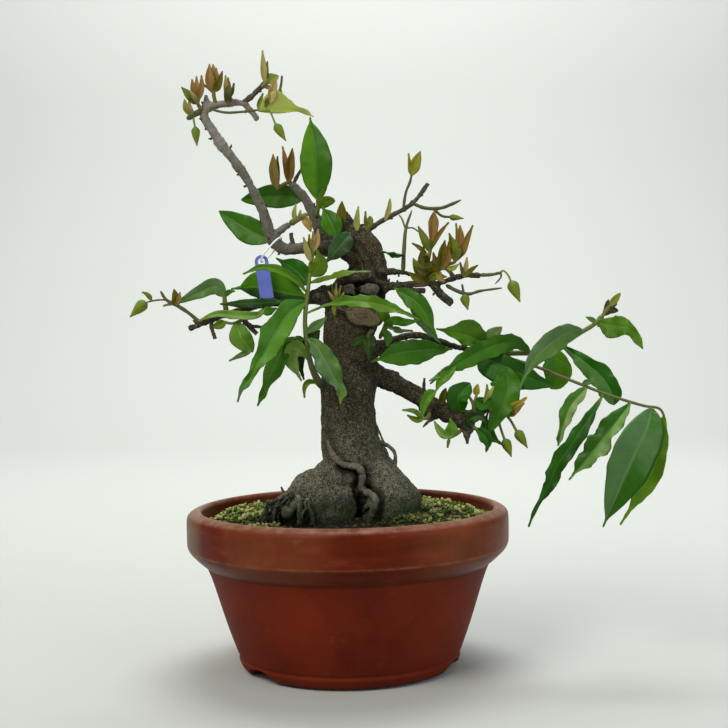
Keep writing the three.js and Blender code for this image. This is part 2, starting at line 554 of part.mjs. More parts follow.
  ]],
  ["shoot_top", colours.young, [
    stem([[210, 109, -24, 0.8], [225, 112.5, -26, 0.75], [240, 112, -27, 0.75], [258, 110, -28, 0.8],
      [270, 110, -29, 0.7]]),
    leaf([[258, 111, -28], [274, 101, -29], [290, 106, -28], [302, 112, -27], [314, 114, -26]],
      { width: 9.5, widest: 0.36, steps: 6, wave: 0.6, ripples: 2, fold: 12 }),
    leaf([[258, 110.5, -28], [261, 102, -27], [264, 93, -27]], { width: 2.6, fold: 26, wave: 0.2 }),
    leaf([[272, 105, -29], [275, 90, -27], [277, 77, -26]], { width: 4, fold: 26, wave: 0.3 }),
    leaf([[277, 102, -29], [280, 88, -31], [282, 75, -31]], { width: 2, fold: 16, wave: 0.2 }),
    stem([[270, 110, -29, 0.7], [273, 118, -29, 0.6], [276, 126, -29, 0.7]]),
    bud([275.4, 124, -29], [286, 141, -29], 2.1),
  ]],
  ["buds_top_fork", colours.young, [
    stem([[262, 88, -26, 1.3], [266, 82, -26, 1.2], [267, 79, -26, 0.9]]),
    leaf([[265, 84, -26], [263.5, 68, -27], [262.5, 50, -27]], { width: 3.2, fold: 26, wave: 0.3 }),
    leaf([[266, 83, -26], [266, 74, -25], [267.5, 61, -25]], { width: 3, fold: 26, wave: 0.3 }),
    leaf([[266, 82.5, -26], [271, 79, -24], [278.5, 76, -23]],
      { width: 5.6, blunt: 0.6, fold: 16, wave: 0.3 }),
  ]],
  ["bud_crown_left", colours.bronze, [
    leaf([[340, 235, -1], [341, 218, -3], [342, 201, -3]], { width: 5.8, fold: 34, wave: 0.3, widest: 0.55 }),
  ]],
  ["bud_crown_middle", colours.young, [
    leaf([[357, 231, -3], [357, 218, -4], [358.5, 206, -4]],
      { width: 3.6, fold: 30, wave: 0.2, widest: 0.35 }),
  ]],
  ["bud_crown_right", colours.young, [
    stem([[366, 236, 2, 1], [366, 226, 0, 0.7]]),
    leaf([[366, 228, 0.4], [365.5, 220, 0], [365.5, 211, 0]], { width: 1.9, wave: 0.1 }),
    leaf([[366, 229, 0.6], [370, 222, -1], [370, 216, -1]], { width: 3.8, blunt: 0.5, wave: 0.2 }),
  ]],
  ["bud_twig_right", colours.young, [
    leaf([[385, 221, 6], [389, 209, 5], [390, 198.5, 5]], { width: 2.8, blunt: 0.5, fold: 26, wave: 0.2 }),
  ]],
  ["shoot_upper_right", colours.young, [
    stem([[403, 211, 11, 0.9], [406, 192, 11, 0.8], [410, 182, 11, 0.7], [412, 173, 11, 0.6]]),
    leaf([[411.4, 176, 11], [410, 166, 12], [408.5, 153, 12]], { width: 2.4, fold: 20, wave: 0.2 }),
    leaf([[411.4, 176, 11], [415, 164, 10], [420.5, 151, 10]], { width: 6, fold: 16, wave: 0.4 }),
  ]],
  ["flower_bud_upper_right", colours.flowerBud, [
    stem([[413, 203.5, 14.8, 0.9], [425, 208, 12, 0.85], [441, 208, 11, 0.8], [452, 204, 11, 0.7],
      [461, 200, 11, 0.5]]),
    stem([[433, 208.3, 11.5, 0.8], [442, 216, 10, 0.6], [452, 217, 10, 0.5]]),
    bud([449.5, 217, 10], [464, 218.5, 10], 1.4),
  ]],
  ["shoot_vertical", colours.dark, [
    stem([[403, 273, -11, 1.1], [404, 250, -10, 0.9], [406, 228, -8, 0.7], [412, 210, -6, 0.5]]),
    stem([[405.8, 230, -8.2, 0.6], [402, 219, -5, 0.6], [399, 215, 3, 0.5]]),
    stem([[406, 228, -8, 0.5], [413, 228, -9, 0.5], [419, 232, -10, 0.45]]),
    leaf([[403.8, 255, -10.2], [394, 254, -13], [381, 251, -13]],
      { width: 7, roll: 68, wave: 0.4, steps: 4 }),
  ]],
  ["shoot_bronze", colours.bronze, [
    stem([[430, 283, -16, 1.1], [428, 265, -15, 1], [431, 246, -14, 0.8]]),
    leaf([[431, 248, -14], [433, 229, -14], [434, 211, -15]],
      { width: 5.6, fold: 30, wave: 0.3, widest: 0.6 }),
    leaf([[430.6, 250, -14.2], [439, 234, -17], [449, 222, -18]], { width: 2.4, fold: 20, wave: 0.2 }),
    leaf([[430.3, 252, -14.3], [425, 240, -17], [418, 226, -18]], { width: 4.6, fold: 20, wave: 0.4 }),
    leaf([[429, 257, -14.6], [420, 248, -11], [412, 243, -10]], { width: 2.4, fold: 20, wave: 0.4 }),
    leaf([[428.4, 274, -15.4], [422, 262, -13], [424, 245, -13]], { width: 4.6, fold: 26, wave: 0.3 }),
    leaf([[428.6, 276, -15.5], [419, 270, -19], [413, 258, -20]], { width: 6, fold: 20, wave: 0.4 }),
    leaf([[428.6, 276, -15.5], [434, 268, -20], [434, 256, -21]], { width: 5.4, fold: 26, wave: 0.4 }),
    leaf([[429, 278, -15.6], [419, 279, -20], [408, 272, -22]], { width: 5, fold: 20, wave: 0.4 }),
  ]],
  ["shoot_right_middle", colours.bronze, [
    stem([[456, 280, -18, 1.1], [450, 272, -18, 1], [445, 266, -19, 0.9], [456, 262, -20, 0.8]]),
    stem([[447, 268, -18.7, 0.9], [441, 269, -19, 0.8], [437, 272, -19, 0.7]]),
    leaf([[441, 269, -19], [442, 256, -19], [445, 240, -19]], { width: 5.4, fold: 28, wave: 0.3 }),
    leaf([[442, 269, -19], [448, 256, -21], [449, 241, -21]], { width: 4.6, fold: 28, wave: 0.3 }),
    leaf([[439, 270.5, -19], [440, 278, -22], [445, 282, -23]], { width: 3.2, wave: 0.3 }),
    leaf([[455, 262, -20], [454, 248, -22], [449, 233, -22]], { width: 4.6, fold: 20, wave: 0.3 }),
    leaf([[455, 262, -20], [458, 245, -18], [456, 223, -17]], { width: 3, fold: 20, wave: 0.3 }),
    leaf([[455, 262, -20], [460, 243, -20], [460, 225, -20]], { width: 4, fold: 28, wave: 0.3, widest: 0.6 }),
    leaf([[455, 262, -20], [463, 248, -23], [473, 225, -24]], { width: 4.8, fold: 16, wave: 0.5 }),
  ]],
  ["buds_right_end", colours.young, [
    stem([[480, 275, -22, 1.05], [492, 274.5, -23, 0.95], [502, 271, -24, 0.8]]),
    stem([[502, 271, -24, 0.7], [502.5, 277, -24, 0.6], [495, 284, -24, 0.4]]),
    stem([[502, 271, -24, 0.7], [507, 274, -25, 0.6], [512, 284, -25, 0.6]]),
    bud([511, 281, -25], [519, 302, -25], 3.2),
  ]],
  ["buds_right_small", colours.young, [
    leaf([[464, 277, -21], [466, 267, -22], [467, 257, -22]], { width: 2.6, fold: 24, wave: 0.2 }),
    leaf([[464, 277, -21], [471, 270, -23], [478, 265, -24]], { width: 3, fold: 20, wave: 0.3 }),
  ]],
  ["flower_bud_right", colours.flowerBud, [
    stem([[446, 285, -18, 0.9], [455, 290, -19, 0.8], [468, 294, -20, 0.8], [480, 291, -21, 0.7],
      [502, 288, -22, 0.5]]),
    stem([[462, 284, -19.5, 0.6], [463.5, 292.5, -19.6, 0.7], [464, 299, -21, 0.6]]),
    bud([463.8, 295, -20.6], [468, 310, -21.5], 2),
  ]],
  ["leaf_right_hanging", colours.blueGreen, [
    leaf([[395, 288, -11], [420, 306, -17], [437, 337, -15]],
      { width: 9.5, widest: 0.5, steps: 6, wave: 0.8 }),
    leaf([[409, 297.5, -14.8], [424, 323, -9], [440, 343, -4]], { width: 6.4, wave: 0.6 }),
  ]],
  ["leaf_right_low", colours.mature, [
    leaf([[452, 349, 4], [425, 350, -5], [396, 354, -13], [370, 362, -17]],
      { width: 13.5, widest: 0.58, steps: 7, wave: 0.8, left: 1, right: 0.9 }),
  ]],
  ["leaves_trunk_right", colours.mature, [
    stem([[380, 338, -6, 1.2], [384, 328, -13, 0.9], [388, 316, -15, 0.7]]),
    leaf([[383, 331, -11.6], [392, 321, -18], [405, 322, -19], [419, 321, -18]],
      { width: 4.6, wave: 0.8, steps: 5 }),
    leaf([[386, 322, -14.2], [384, 314, -18], [380, 305, -20]], { width: 5, wave: 0.4 }),
    leaf([[385.4, 324, -13.9], [396, 330, -16], [413, 331, -16]], { width: 3.4, wave: 0.5, roll: 30 }),
    leaf([[383.4, 330, -12], [388, 338, -15], [387, 347, -15]], { width: 4.4, wave: 0.3 }),
  ]],
  ["leaves_trunk_front", colours.dark, [
    stem([[372, 330, -9, 1.1], [369, 334, -15, 0.8], [368, 340, -16, 0.7]]),
    leaf([[369, 334, -14.8], [369, 345, -18], [369, 361, -18]], { width: 7.6, wave: 0.5, fold: 20 }),
    leaf([[368.3, 338, -15.6], [360, 341, -19], [351, 346, -19]], { width: 4.6, blunt: 0.6, wave: 0.3 }),
  ]],
  ["leaves_right_middle", colours.bright, [
    stem([[478, 351, 5, 1.1], [484, 347, 2, 0.8], [488, 343, 0, 0.6]]),
    leaf([[487, 344, 0.4], [466, 336, -4], [436, 329, -5]],
      { width: 13, left: 0.7, right: 1.25, widest: 0.5, steps: 6, wave: 1, ripples: 2.6 }),
    leaf([[487, 344, 0.4], [492, 335, 2], [502, 327, 3]], { width: 6.4, blunt: 0.6, wave: 0.4, steps: 4 }),
  ]],
  ["leaves_right_dark", colours.mature, [
    leaf([[478, 353, 4.5], [490, 360, -1], [510, 369, -4], [530, 378, -4], [553, 386, -3]],
      { width: 14, left: 0.85, right: 1.2, widest: 0.42, blunt: 0.7, steps: 6, wave: 0.6, fold: 6 }),
    leaf([[506, 367, -3.6], [508, 388, -6], [501, 410, -9], [489, 432, -9]],
      { width: 16, widest: 0.36, blunt: 0.75, steps: 6, wave: 1.1, ripples: 3.4, fold: 8 }),
  ]],
  ["leaf_low_dark", colours.dark, [
    leaf([[461, 412, -8], [460.5, 397, -12], [463, 382, -10]],
      { width: 13, blunt: 0.5, widest: 0.55, wave: 0.5 }),
  ]],
  ["bud_low_left", colours.bronze, [
    leaf([[442, 404, -6], [443, 396, -8], [446, 388, -8]], { width: 4, blunt: 0.6, fold: 26, wave: 0.2 }),
  ]],
  ["leaves_low_left", colours.bright, [
    stem([[430, 413, -5, 1.2], [427, 418, -8, 0.9], [421, 418.5, -9, 0.7]]),
    leaf([[423, 418.5, -8.7], [414, 411, -10], [402, 410, -10]], { width: 2.6, wave: 0.3 }),
    leaf([[424, 418.5, -8.5], [416, 419.5, -11], [407, 415, -12]], { width: 3.4, wave: 0.3 }),
  ]],
  ["leaves_low_middle", colours.bright, [
    stem([[461, 430, -9, 1], [457, 434, -12, 0.8], [449, 438, -13, 0.8]]),
    leaf([[450, 437.5, -12.9], [441, 432, -15], [434, 421, -15]], { width: 4.2, wave: 0.4 }),
    leaf([[451, 437, -12.8], [452, 428, -13.5], [450, 418, -13]], { width: 7, wave: 0.4, steps: 4 }),
    leaf([[449.5, 438, -13], [448.5, 442, -13], [447.5, 448, -13]], { width: 1.8, wave: 0.1, steps: 2 }),
  ]],
  ["buds_low_right", colours.young, [
    stem([[474, 413, -8, 1.2], [473, 404, -10, 0.8], [469, 396, -11, 0.6]]),
    stem([[473.4, 407, -9.4, 0.8], [475, 400, -11, 0.7], [477, 394, -11, 0.6]]),
    leaf([[476.5, 395, -11], [476.5, 390, -12], [478, 384, -12]],
      { width: 3.6, blunt: 0.6, fold: 26, wave: 0.2 }),
    leaf([[475, 400, -11], [484, 404, -15], [490, 394, -16]],
      { width: 6.8, blunt: 0.6, wave: 0.4, steps: 4 }),
    leaf([[484, 403, -15], [487, 394, -17], [487, 384, -17]], { width: 2.4, wave: 0.2 }),
    leaf([[486, 400, -15.5], [490, 393, -18], [494, 386, -18]], { width: 2.4, wave: 0.2 }),
  ]],
  ["flower_buds_low_right", colours.flowerBud, [
    stem([[487, 409, -10, 1.5], [497, 412, -4, 1.2], [507, 416, -2, 0.9]]),
    leaf([[506, 415.6, -2.2], [514, 408, -4], [527, 398, -6]], { width: 6, fold: 14, wave: 0.3 }),
    stem([[507, 416, -2, 0.8], [511, 421, -4, 0.6], [517, 432, -6, 0.7]]),
    bud([516.6, 430.5, -6], [527.5, 448, -6], 2.2),
    stem([[497, 412, -4, 0.8], [500, 426, -4, 0.6], [505, 441, -6, 0.7]]),
    bud([504.5, 439, -6], [511.5, 457, -6], 2.2),
    leaf([[489, 410, -8.6], [485, 424, -5], [489, 434, -6], [504, 446, -7]],
      { width: 7, wave: 0.4, widest: 0.66, steps: 5 }),
  ]],
  ["leaves_low_hanging", colours.mature, [
    stem([[468, 424, -9, 1.4], [473, 427, -13, 1], [478, 430, -14, 0.8]]),
    leaf([[475, 428, -13.4], [483, 434, -15], [488, 442, -15], [486, 452, -13]],
      { width: 6.6, wave: 0.4, widest: 0.5 }),
    leaf([[474, 427.4, -13.2], [470, 420, -16], [480, 416, -17], [487, 424, -16]],
      { width: 5.4, wave: 0.3, steps: 4 }),
  ]],
  ["leaf_left_high", colours.mature, [
    stem([[227, 315, -15, 1.4], [225, 303, -14, 1.2], [224, 292, -14, 0.9]]),
    leaf([[224.5, 296, -14], [216, 286.5, -15], [200, 292, -14], [183, 300, -13], [163, 306, -13]],
      { width: 7.4, widest: 0.32, steps: 6, wave: 0.7 }),
    leaf([[224.5, 297, -14], [229, 292, -16], [235, 291, -17]], { width: 2.8, wave: 0.4 }),
  ]],
  ["shoot_far_left", colours.young, [
    stem([[200, 323, -17, 1.1], [190, 314, -18, 1], [178, 306, -19, 0.9], [166, 299.5, -19, 0.8],
      [160.5, 291, -19, 0.8]]),
    stem([[168, 300, -19, 0.7], [158, 300, -20, 0.6], [145.5, 302.5, -20, 0.6]]),
    leaf([[176, 305, -19], [176, 299, -21], [174, 289, -22]],
      { width: 5.2, blunt: 0.7, fold: 24, wave: 0.3 }),
    leaf([[152, 301, -20], [148, 295, -22], [142, 292, -22]], { width: 2.6, wave: 0.3 }),
    bud([146, 301.5, -20.4], [130, 317, -21], 2.9),
  ]],
  ["leaf_left_pale", colours.young, [
    leaf([[266, 305, -15], [258, 314.5, -19], [235, 315, -20], [216, 314, -20], [198, 321, -19]],
      { width: 4.2, widest: 0.5, steps: 6, wave: 0.6, ripples: 3 }),
    leaf([[264, 308, -16.6], [268, 311, -18], [277, 308, -19]], { width: 4.4, wave: 0.3 }),
  ]],
  ["leaf_left_narrow", colours.blueGreen, [
    leaf([[281, 301, -15], [255, 300, -18], [220, 304, -18]], { width: 4.2, wave: 0.4, steps: 4 }),
  ]],
  ["leaves_left_low", colours.mature, [
    stem([[243, 320, -16, 0.9], [232, 323.5, -18, 0.7], [223, 321.5, -19, 0.7]]),
    leaf([[225, 321.8, -18.8], [219, 325, -20], [213, 327, -20]], { width: 4.4, blunt: 0.55, wave: 0.3 }),
    leaf([[237, 322, -17], [241, 337, -21], [253, 352, -20]],
      { width: 10, blunt: 0.65, widest: 0.5, wave: 0.4 }),
    leaf([[252, 350.5, -20.2], [243, 354, -21], [229, 361, -19]], { width: 2.8, wave: 0.4 }),
  ]],
  ["bud_trunk_left", colours.bronze, [
    leaf([[336, 303, -9.6], [334, 294, -14.5], [331, 284, -15]], { width: 3.2, fold: 24, wave: 0.2 }),
    leaf([[336, 303, -9.6], [338, 295, -14.5], [341, 285, -15]], { width: 3.6, fold: 24, wave: 0.2 }),
  ]],
];

// Plant tag: a bare plastic strip with a rounded top, hung from a branch by a loop of tie

const tagTop = [260.5, 255, -15];
const tagFoot = [266.5, 294, -15];
const tieHole = [260.8, 260.5, -15];
const tieBranch = [276, 244.5, -9.5];

function tagSolid() {
  const half = tagWidth / 2;
  const outline = new THREE.Shape();
  outline.moveTo(-half, -tagLength);
  outline.lineTo(half, -tagLength);
  outline.lineTo(half, -half);
  outline.absarc(0, -half, half, 0, Math.PI);
  outline.lineTo(-half, -tagLength);
  const hole = new THREE.Path();
  hole.absarc(0, -half, tagHoleRadius, 0, 2 * Math.PI);
  outline.holes.push(hole);
  const strip = new THREE.ExtrudeGeometry(outline, {
    depth: tagThickness,
    bevelEnabled: false,
    curveSegments: 4,
  });
  strip.translate(0, 0, -tagThickness / 2);
  strip.rotateX(Math.PI / 2);
  const top = spot(tagTop);
  const foot = spot(tagFoot);
  strip.rotateY(Math.atan2(top.x - foot.x, top.z - foot.z));
  strip.translate(top.x, top.y, top.z);
  return toSolid(strip);
}

// The tie is a closed oval loop that starts in the tag's hole and goes over the branch
function tieSolid() {
  const hole = spot(tieHole);
  const rise = spot(tieBranch).sub(hole);
  const halfLength = (rise.length() + branchClearance) / 2;
  const loop = new THREE.TorusGeometry(1, tieRadius, 4, 16);
  const points = loop.attributes.position;
  for (let index = 0; index < points.count; index += 1) {
    const around = Math.atan2(points.getY(index), points.getX(index));
    points.setX(index, points.getX(index) + (tieHalfWidth - 1) * Math.cos(around));
    points.setY(index, points.getY(index) + (halfLength - 1) * Math.sin(around));
  }
  loop.translate(0, halfLength, 0);
  loop.rotateX(Math.PI / 2);
  loop.rotateZ(Math.PI / 2);
  const upright = new THREE.Vector3(0, 0, 1);
  loop.applyQuaternion(new THREE.Quaternion().setFromUnitVectors(upright, rise.clone().normalize()));
  loop.translate(hole.x, hole.y, hole.z);
  return toSolid(loop);
}

// Assembly: each node is cut clear of those made before it

const bonsai = new THREE.Group();
const wood = woodSolid(0);
const woodSpace = woodSolid(gap);
const pot = potSolid();
bonsai.add(toMesh("pot", pot, colours.clay, 0.55));
bonsai.add(toMesh("trunk", wood, colours.bark, 0.85));

bonsai.add(toMesh("soil", soilSolid(woodSpace), colours.soil, 0.95));

const tag = tagSolid();
const tie = tieSolid();
bonsai.add(toMesh("tag", tag, colours.tag, 0.4));
bonsai.add(toMesh("tag_tie", tie, colours.tie, 0.5));

let taken = joined([woodSpace, tag, tie]);
for (const [name, colour, parts] of shoots) {
  const whole = joined(parts.map((part) => part(0)));
  const clear = largestPiece(whole.subtract(taken));
  bonsai.add(toMesh(name, clear, colour, 0.5));
  taken = taken.add(joined(parts.map((part) => part(gap))));
}

// The origin is at the middle of the whole, on the surface that the pot stands on
const middle = new THREE.Box3().setFromObject(bonsai).getCenter(new THREE.Vector3());
bonsai.position.set(-middle.x, -middle.y, 0);
bonsai.updateMatrixWorld(true);

export default bonsai;
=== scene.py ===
import bpy
import bmesh
import math
import random
from mathutils import Matrix, Vector, noise
from mathutils.bvhtree import BVHTree
from mathutils.kdtree import KDTree


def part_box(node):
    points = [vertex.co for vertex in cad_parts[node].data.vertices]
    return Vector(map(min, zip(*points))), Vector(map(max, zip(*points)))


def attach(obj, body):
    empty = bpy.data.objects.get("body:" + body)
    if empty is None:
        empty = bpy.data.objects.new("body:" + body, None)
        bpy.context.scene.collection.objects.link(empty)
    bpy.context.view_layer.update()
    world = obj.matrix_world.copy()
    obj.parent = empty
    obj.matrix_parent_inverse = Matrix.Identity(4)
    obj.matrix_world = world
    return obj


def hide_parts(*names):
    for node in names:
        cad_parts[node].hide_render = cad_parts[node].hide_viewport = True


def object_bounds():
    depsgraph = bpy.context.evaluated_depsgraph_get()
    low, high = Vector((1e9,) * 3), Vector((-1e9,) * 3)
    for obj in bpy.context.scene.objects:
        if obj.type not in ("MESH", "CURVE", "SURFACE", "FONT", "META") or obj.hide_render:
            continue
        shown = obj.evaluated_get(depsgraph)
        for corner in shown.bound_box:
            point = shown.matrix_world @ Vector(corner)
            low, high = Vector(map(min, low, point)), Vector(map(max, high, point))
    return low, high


# A small bonsai of a wild persimmon in a round clay training pot.
# Lengths in the lists are millimetres; places are [across, down, depth] in a front view that is
# 728 units wide, with the depth in millimetres behind the pot's axis.

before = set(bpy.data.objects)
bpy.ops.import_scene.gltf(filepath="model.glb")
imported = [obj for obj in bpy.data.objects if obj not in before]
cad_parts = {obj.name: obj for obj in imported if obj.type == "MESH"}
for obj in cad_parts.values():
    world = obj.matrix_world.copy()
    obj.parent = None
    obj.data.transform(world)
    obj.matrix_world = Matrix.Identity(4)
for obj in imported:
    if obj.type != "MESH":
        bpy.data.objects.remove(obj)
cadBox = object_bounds()
potLow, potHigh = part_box("pot")
potAxis = Vector(((potLow.x + potHigh.x) / 2, (potLow.y + potHigh.y) / 2, 0))

frontView = {
    "width": 728.0,
    "eye": (9.2, -634.0, 163.4),  # mm from the foot of the pot's axis
    "pitch": 1.54,  # degrees below the horizon
    "roll": 0.95,
    "focal": 1300.0,  # in units of the front view
    "unit": 0.4877,  # mm that one unit spans at the pot's axis
}

eyePlace = Vector(frontView["eye"])
pitch = math.radians(frontView["pitch"])
roll = math.radians(frontView["roll"])
metres = 0.001  # in a millimetre
boxMargin = 2e-5  # m that every point keeps inside the solids' box
weldDistance = 2e-6  # m


def linear(hexColour):
    channels = [int(hexColour[i:i + 2], 16) / 255 for i in (1, 3, 5)]
    return tuple(c / 12.92 if c <= 0.04045 else ((c + 0.055) / 1.055) ** 2.4 for c in channels)


def shade(hexColour):
    return (*linear(hexColour), 1.0)


def mixed(first, second, share):
    return tuple(a + (b - a) * share for a, b in zip(first, second))


def smoothStep(low, high, value):
    t = min(max((value - low) / (high - low), 0.0), 1.0)
    return t * t * (3 - 2 * t)


# A place in the front view as a point in millimetres from the foot of the pot's axis
def spot(place):
    right = place[0] - frontView["width"] / 2
    below = place[1] - frontView["width"] / 2
    sideways = right * math.cos(roll) - below * math.sin(roll)
    drop = (right * math.sin(roll) + below * math.cos(roll)) / frontView["focal"]
    ray = Vector((sideways / frontView["focal"], math.cos(pitch) - drop * math.sin(pitch),
                  -math.sin(pitch) - drop * math.cos(pitch)))
    return ray * ((place[2] - eyePlace.y) / ray.y) + eyePlace


# Curves and mesh building

# A point of a smooth curve through all the points, at a share from 0 to 1 of its way
def curvePoint(points, along):
    last = len(points) - 1
    place = along * last
    low = min(int(place), last - 1)
    share = place - low
    p1, p2 = points[low], points[low + 1]
    p0 = points[low - 1] if low > 0 else p1 * 2 - p2
    p3 = points[low + 2] if low + 2 <= last else p2 * 2 - p1
    d0, d1, d2 = (max((b - a).length, 1e-6) ** 0.5 for a, b in ((p0, p1), (p1, p2), (p2, p3)))
    t1 = ((p1 - p0) / d0 - (p2 - p0) / (d0 + d1) + (p2 - p1) / d1) * d1
    t2 = ((p2 - p1) / d1 - (p3 - p1) / (d1 + d2) + (p3 - p2) / d2) * d1
    square, cube = share * share, share * share * share
    return p1 + t1 * share + (p2 * 3 - p1 * 3 - t1 * 2 - t2) * square + (p1 * 2 - p2 * 2 + t1 + t2) * cube


# The curve's point, its direction, and the side and face of a blade that looks at the eye, then is turned
def frameOn(points, along, turn=0.0):
    centre = curvePoint(points, along)
    ahead, behind = curvePoint(points, min(along + 1e-4, 1)), curvePoint(points, max(along - 1e-4, 0))
    forward = (ahead - behind).normalized()
    flatSide = forward.cross((eyePlace - centre).normalized()).normalized()
    flatFace = flatSide.cross(forward)
    angle = math.radians(turn)
    side = flatSide * math.cos(angle) + flatFace * math.sin(angle)
    face = flatFace * math.cos(angle) - flatSide * math.sin(angle)
    return centre, forward, side, face


def between(values, along):
    place = along * (len(values) - 1)
    low = min(int(place), len(values) - 2)
    return values[low] + (values[low + 1] - values[low]) * (place - low)


def lineLength(points):
    steps = [curvePoint(points, i / 24) for i in range(25)]
    return sum((b - a).length for a, b in zip(steps, steps[1:]))


def newBuild():
    return {"points": [], "faces": [], "tints": [], "uvs": []}


def turns(count):
    return [2 * math.pi * index / count for index in range(count)]


# A ring of points, as many as there are radii
def ringAt(centre, side, face, radii):
    return [centre + side * (math.cos(turn) * radius) + face * (math.sin(turn) * radius)
            for turn, radius in zip(turns(len(radii)), radii)]


# Joins closed rings of points to one closed skin. A ring has one tint, or a list with one for each point
def skin(build, rings, tints, uvs=None):
    start, count = len(build["points"]), len(rings[0])
    for index, ring in enumerate(rings):
        build["points"].extend(ring)
        build["tints"].extend(tints[index] if isinstance(tints[index], list) else [tints[index]] * count)
        build["uvs"].extend(uvs[index] if uvs else [(0.0, 0.5)] * count)
    for row in range(len(rings) - 1):
        for corner in range(count):
            a = start + row * count + corner
            b = start + row * count + (corner + 1) % count
            build["faces"].append((a, b, b + count, a + count))
    end = start + (len(rings) - 1) * count
    build["faces"].append(tuple(range(start + count - 1, start - 1, -1)))
    build["faces"].append(tuple(range(end, end + count)))


# Faces between rows of points that follow each other round and end where they began
def joinRows(build, rows, count, closed=True):
    for row in range(rows):
        after = (row + 1) % rows
        for column in range(count if closed else count - 1):
            beside = (column + 1) % count
            build["faces"].append((row * count + column, row * count + beside,
                                   after * count + beside, after * count + column))


def heldInBox(point):
    return [min(max(v, low + boxMargin), high - boxMargin) for v, low, high in zip(point, *cadBox)]


def meshFrom(name, build):
    mesh = bpy.data.meshes.new(name)
    points = [heldInBox(point * metres + potAxis) for point in build["points"]]
    mesh.from_pydata(points, [], build["faces"])
    if build["uvs"]:
        layer = mesh.uv_layers.new(name="leafMap")
        for loop in mesh.loops:
            layer.data[loop.index].uv = build["uvs"][loop.vertex_index]
    if build["tints"]:
        tint = mesh.color_attributes.new(name="tint", type="FLOAT_COLOR", domain="POINT")
        for index, colour in enumerate(build["tints"]):
            tint.data[index].color = (*colour[:3], 1.0)
    return mesh


def setSmooth(mesh, smooth=True):
    for face in mesh.polygons:
        face.use_smooth = smooth


def tidyMesh(mesh, smooth=True):
    work = bmesh.new()
    work.from_mesh(mesh)
    bmesh.ops.remove_doubles(work, verts=work.verts, dist=weldDistance)
    bmesh.ops.recalc_face_normals(work, faces=work.faces)
    work.to_mesh(mesh)
    work.free()
    setSmooth(mesh, smooth)


def meshTree(mesh):
    points = [vertex.co for vertex in mesh.vertices]
    return BVHTree.FromPolygons(points, [tuple(face.vertices) for face in mesh.polygons])


def newObject(name, data):
    made = bpy.data.objects.new(name, data)
    bpy.context.scene.collection.objects.link(made)
    return made


def addPiece(name, mesh, material, nodes):
    piece = newObject(name, mesh)
    mesh.materials.clear()
    mesh.materials.append(material)
    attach(piece, "root")
    if nodes:
        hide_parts(*nodes)


# The object's mesh with its modifiers worked in
def settled(piece):
    graph = bpy.context.evaluated_depsgraph_get()
    mesh = bpy.data.meshes.new_from_object(piece.evaluated_get(graph))
    bpy.data.objects.remove(piece)
    return mesh


# Adds a node and gives its output, or all outputs where out is None. An input that is another
# node's output is linked, a hex colour is turned to linear, and stops fill a colour ramp.
def addNode(tree, kind, inputs=(), out=0, stops=(), **settings):
    node = tree.nodes.new(kind)
    for key, value in settings.items():
        setattr(node, key, value)
    for key, value in inputs.items() if isinstance(inputs, dict) else enumerate(inputs):
        if isinstance(value, bpy.types.NodeSocket):
            tree.links.new(value, node.inputs[key])
        else:
            node.inputs[key].default_value = shade(value) if str(value).startswith("#") else value
    for index, (position, colour) in enumerate(stops):
        elements = node.color_ramp.elements
        element = elements[index] if index < len(elements) else elements.new(position)
        element.position = position
        element.color = shade(colour) if isinstance(colour, str) else (colour, colour, colour, 1)
    return node.outputs[out] if node.outputs and out is not None else node.outputs


def newMaterial(name):
    material = bpy.data.materials.new(name)
    material.use_nodes = True
    material.node_tree.nodes.clear()
    return material, material.node_tree


# Leaves

leafLook = {
    "bladeThickness": 0.36,  # mm, at the middle of a half blade
    "veinSpacing": 5.2,  # mm between side veins on a full leaf
    "scaleVeins": 3.4,  # mm between those on a narrow leaf or bud scale
    "veinSweep": 0.85,  # how far a side vein runs forward on its way to the edge, in spacings
    "quilting": 0.2,  # mm that the blade domes between its side veins
    "midribGroove": 0.22,
    "midribKeel": 0.55,
    "narrow": 6.2,  # mm of width under which a leaf counts as narrow
    "rowSpacing": 1.05,  # mm between the mesh's rows along a blade
    "rib": "#7d9440",
    "dullPatch": "#8f9a62",
    "veinGlow": "#56662a",
}

# What a leaf has where its line below gives nothing else; widest is a share of its length,
# left and right scale its halves, fold and roll are degrees, wave is mm
leafForm = {"left": 1.0, "right": 1.0, "roll": 0.0, "fold": 14.0, "wave": 0.7, "ripples": 2.4, "widest": 0.42,
            "blunt": 0.85, "tip": None, "ragged": 1.0, "tail": None, "tailWidth": 1.8}

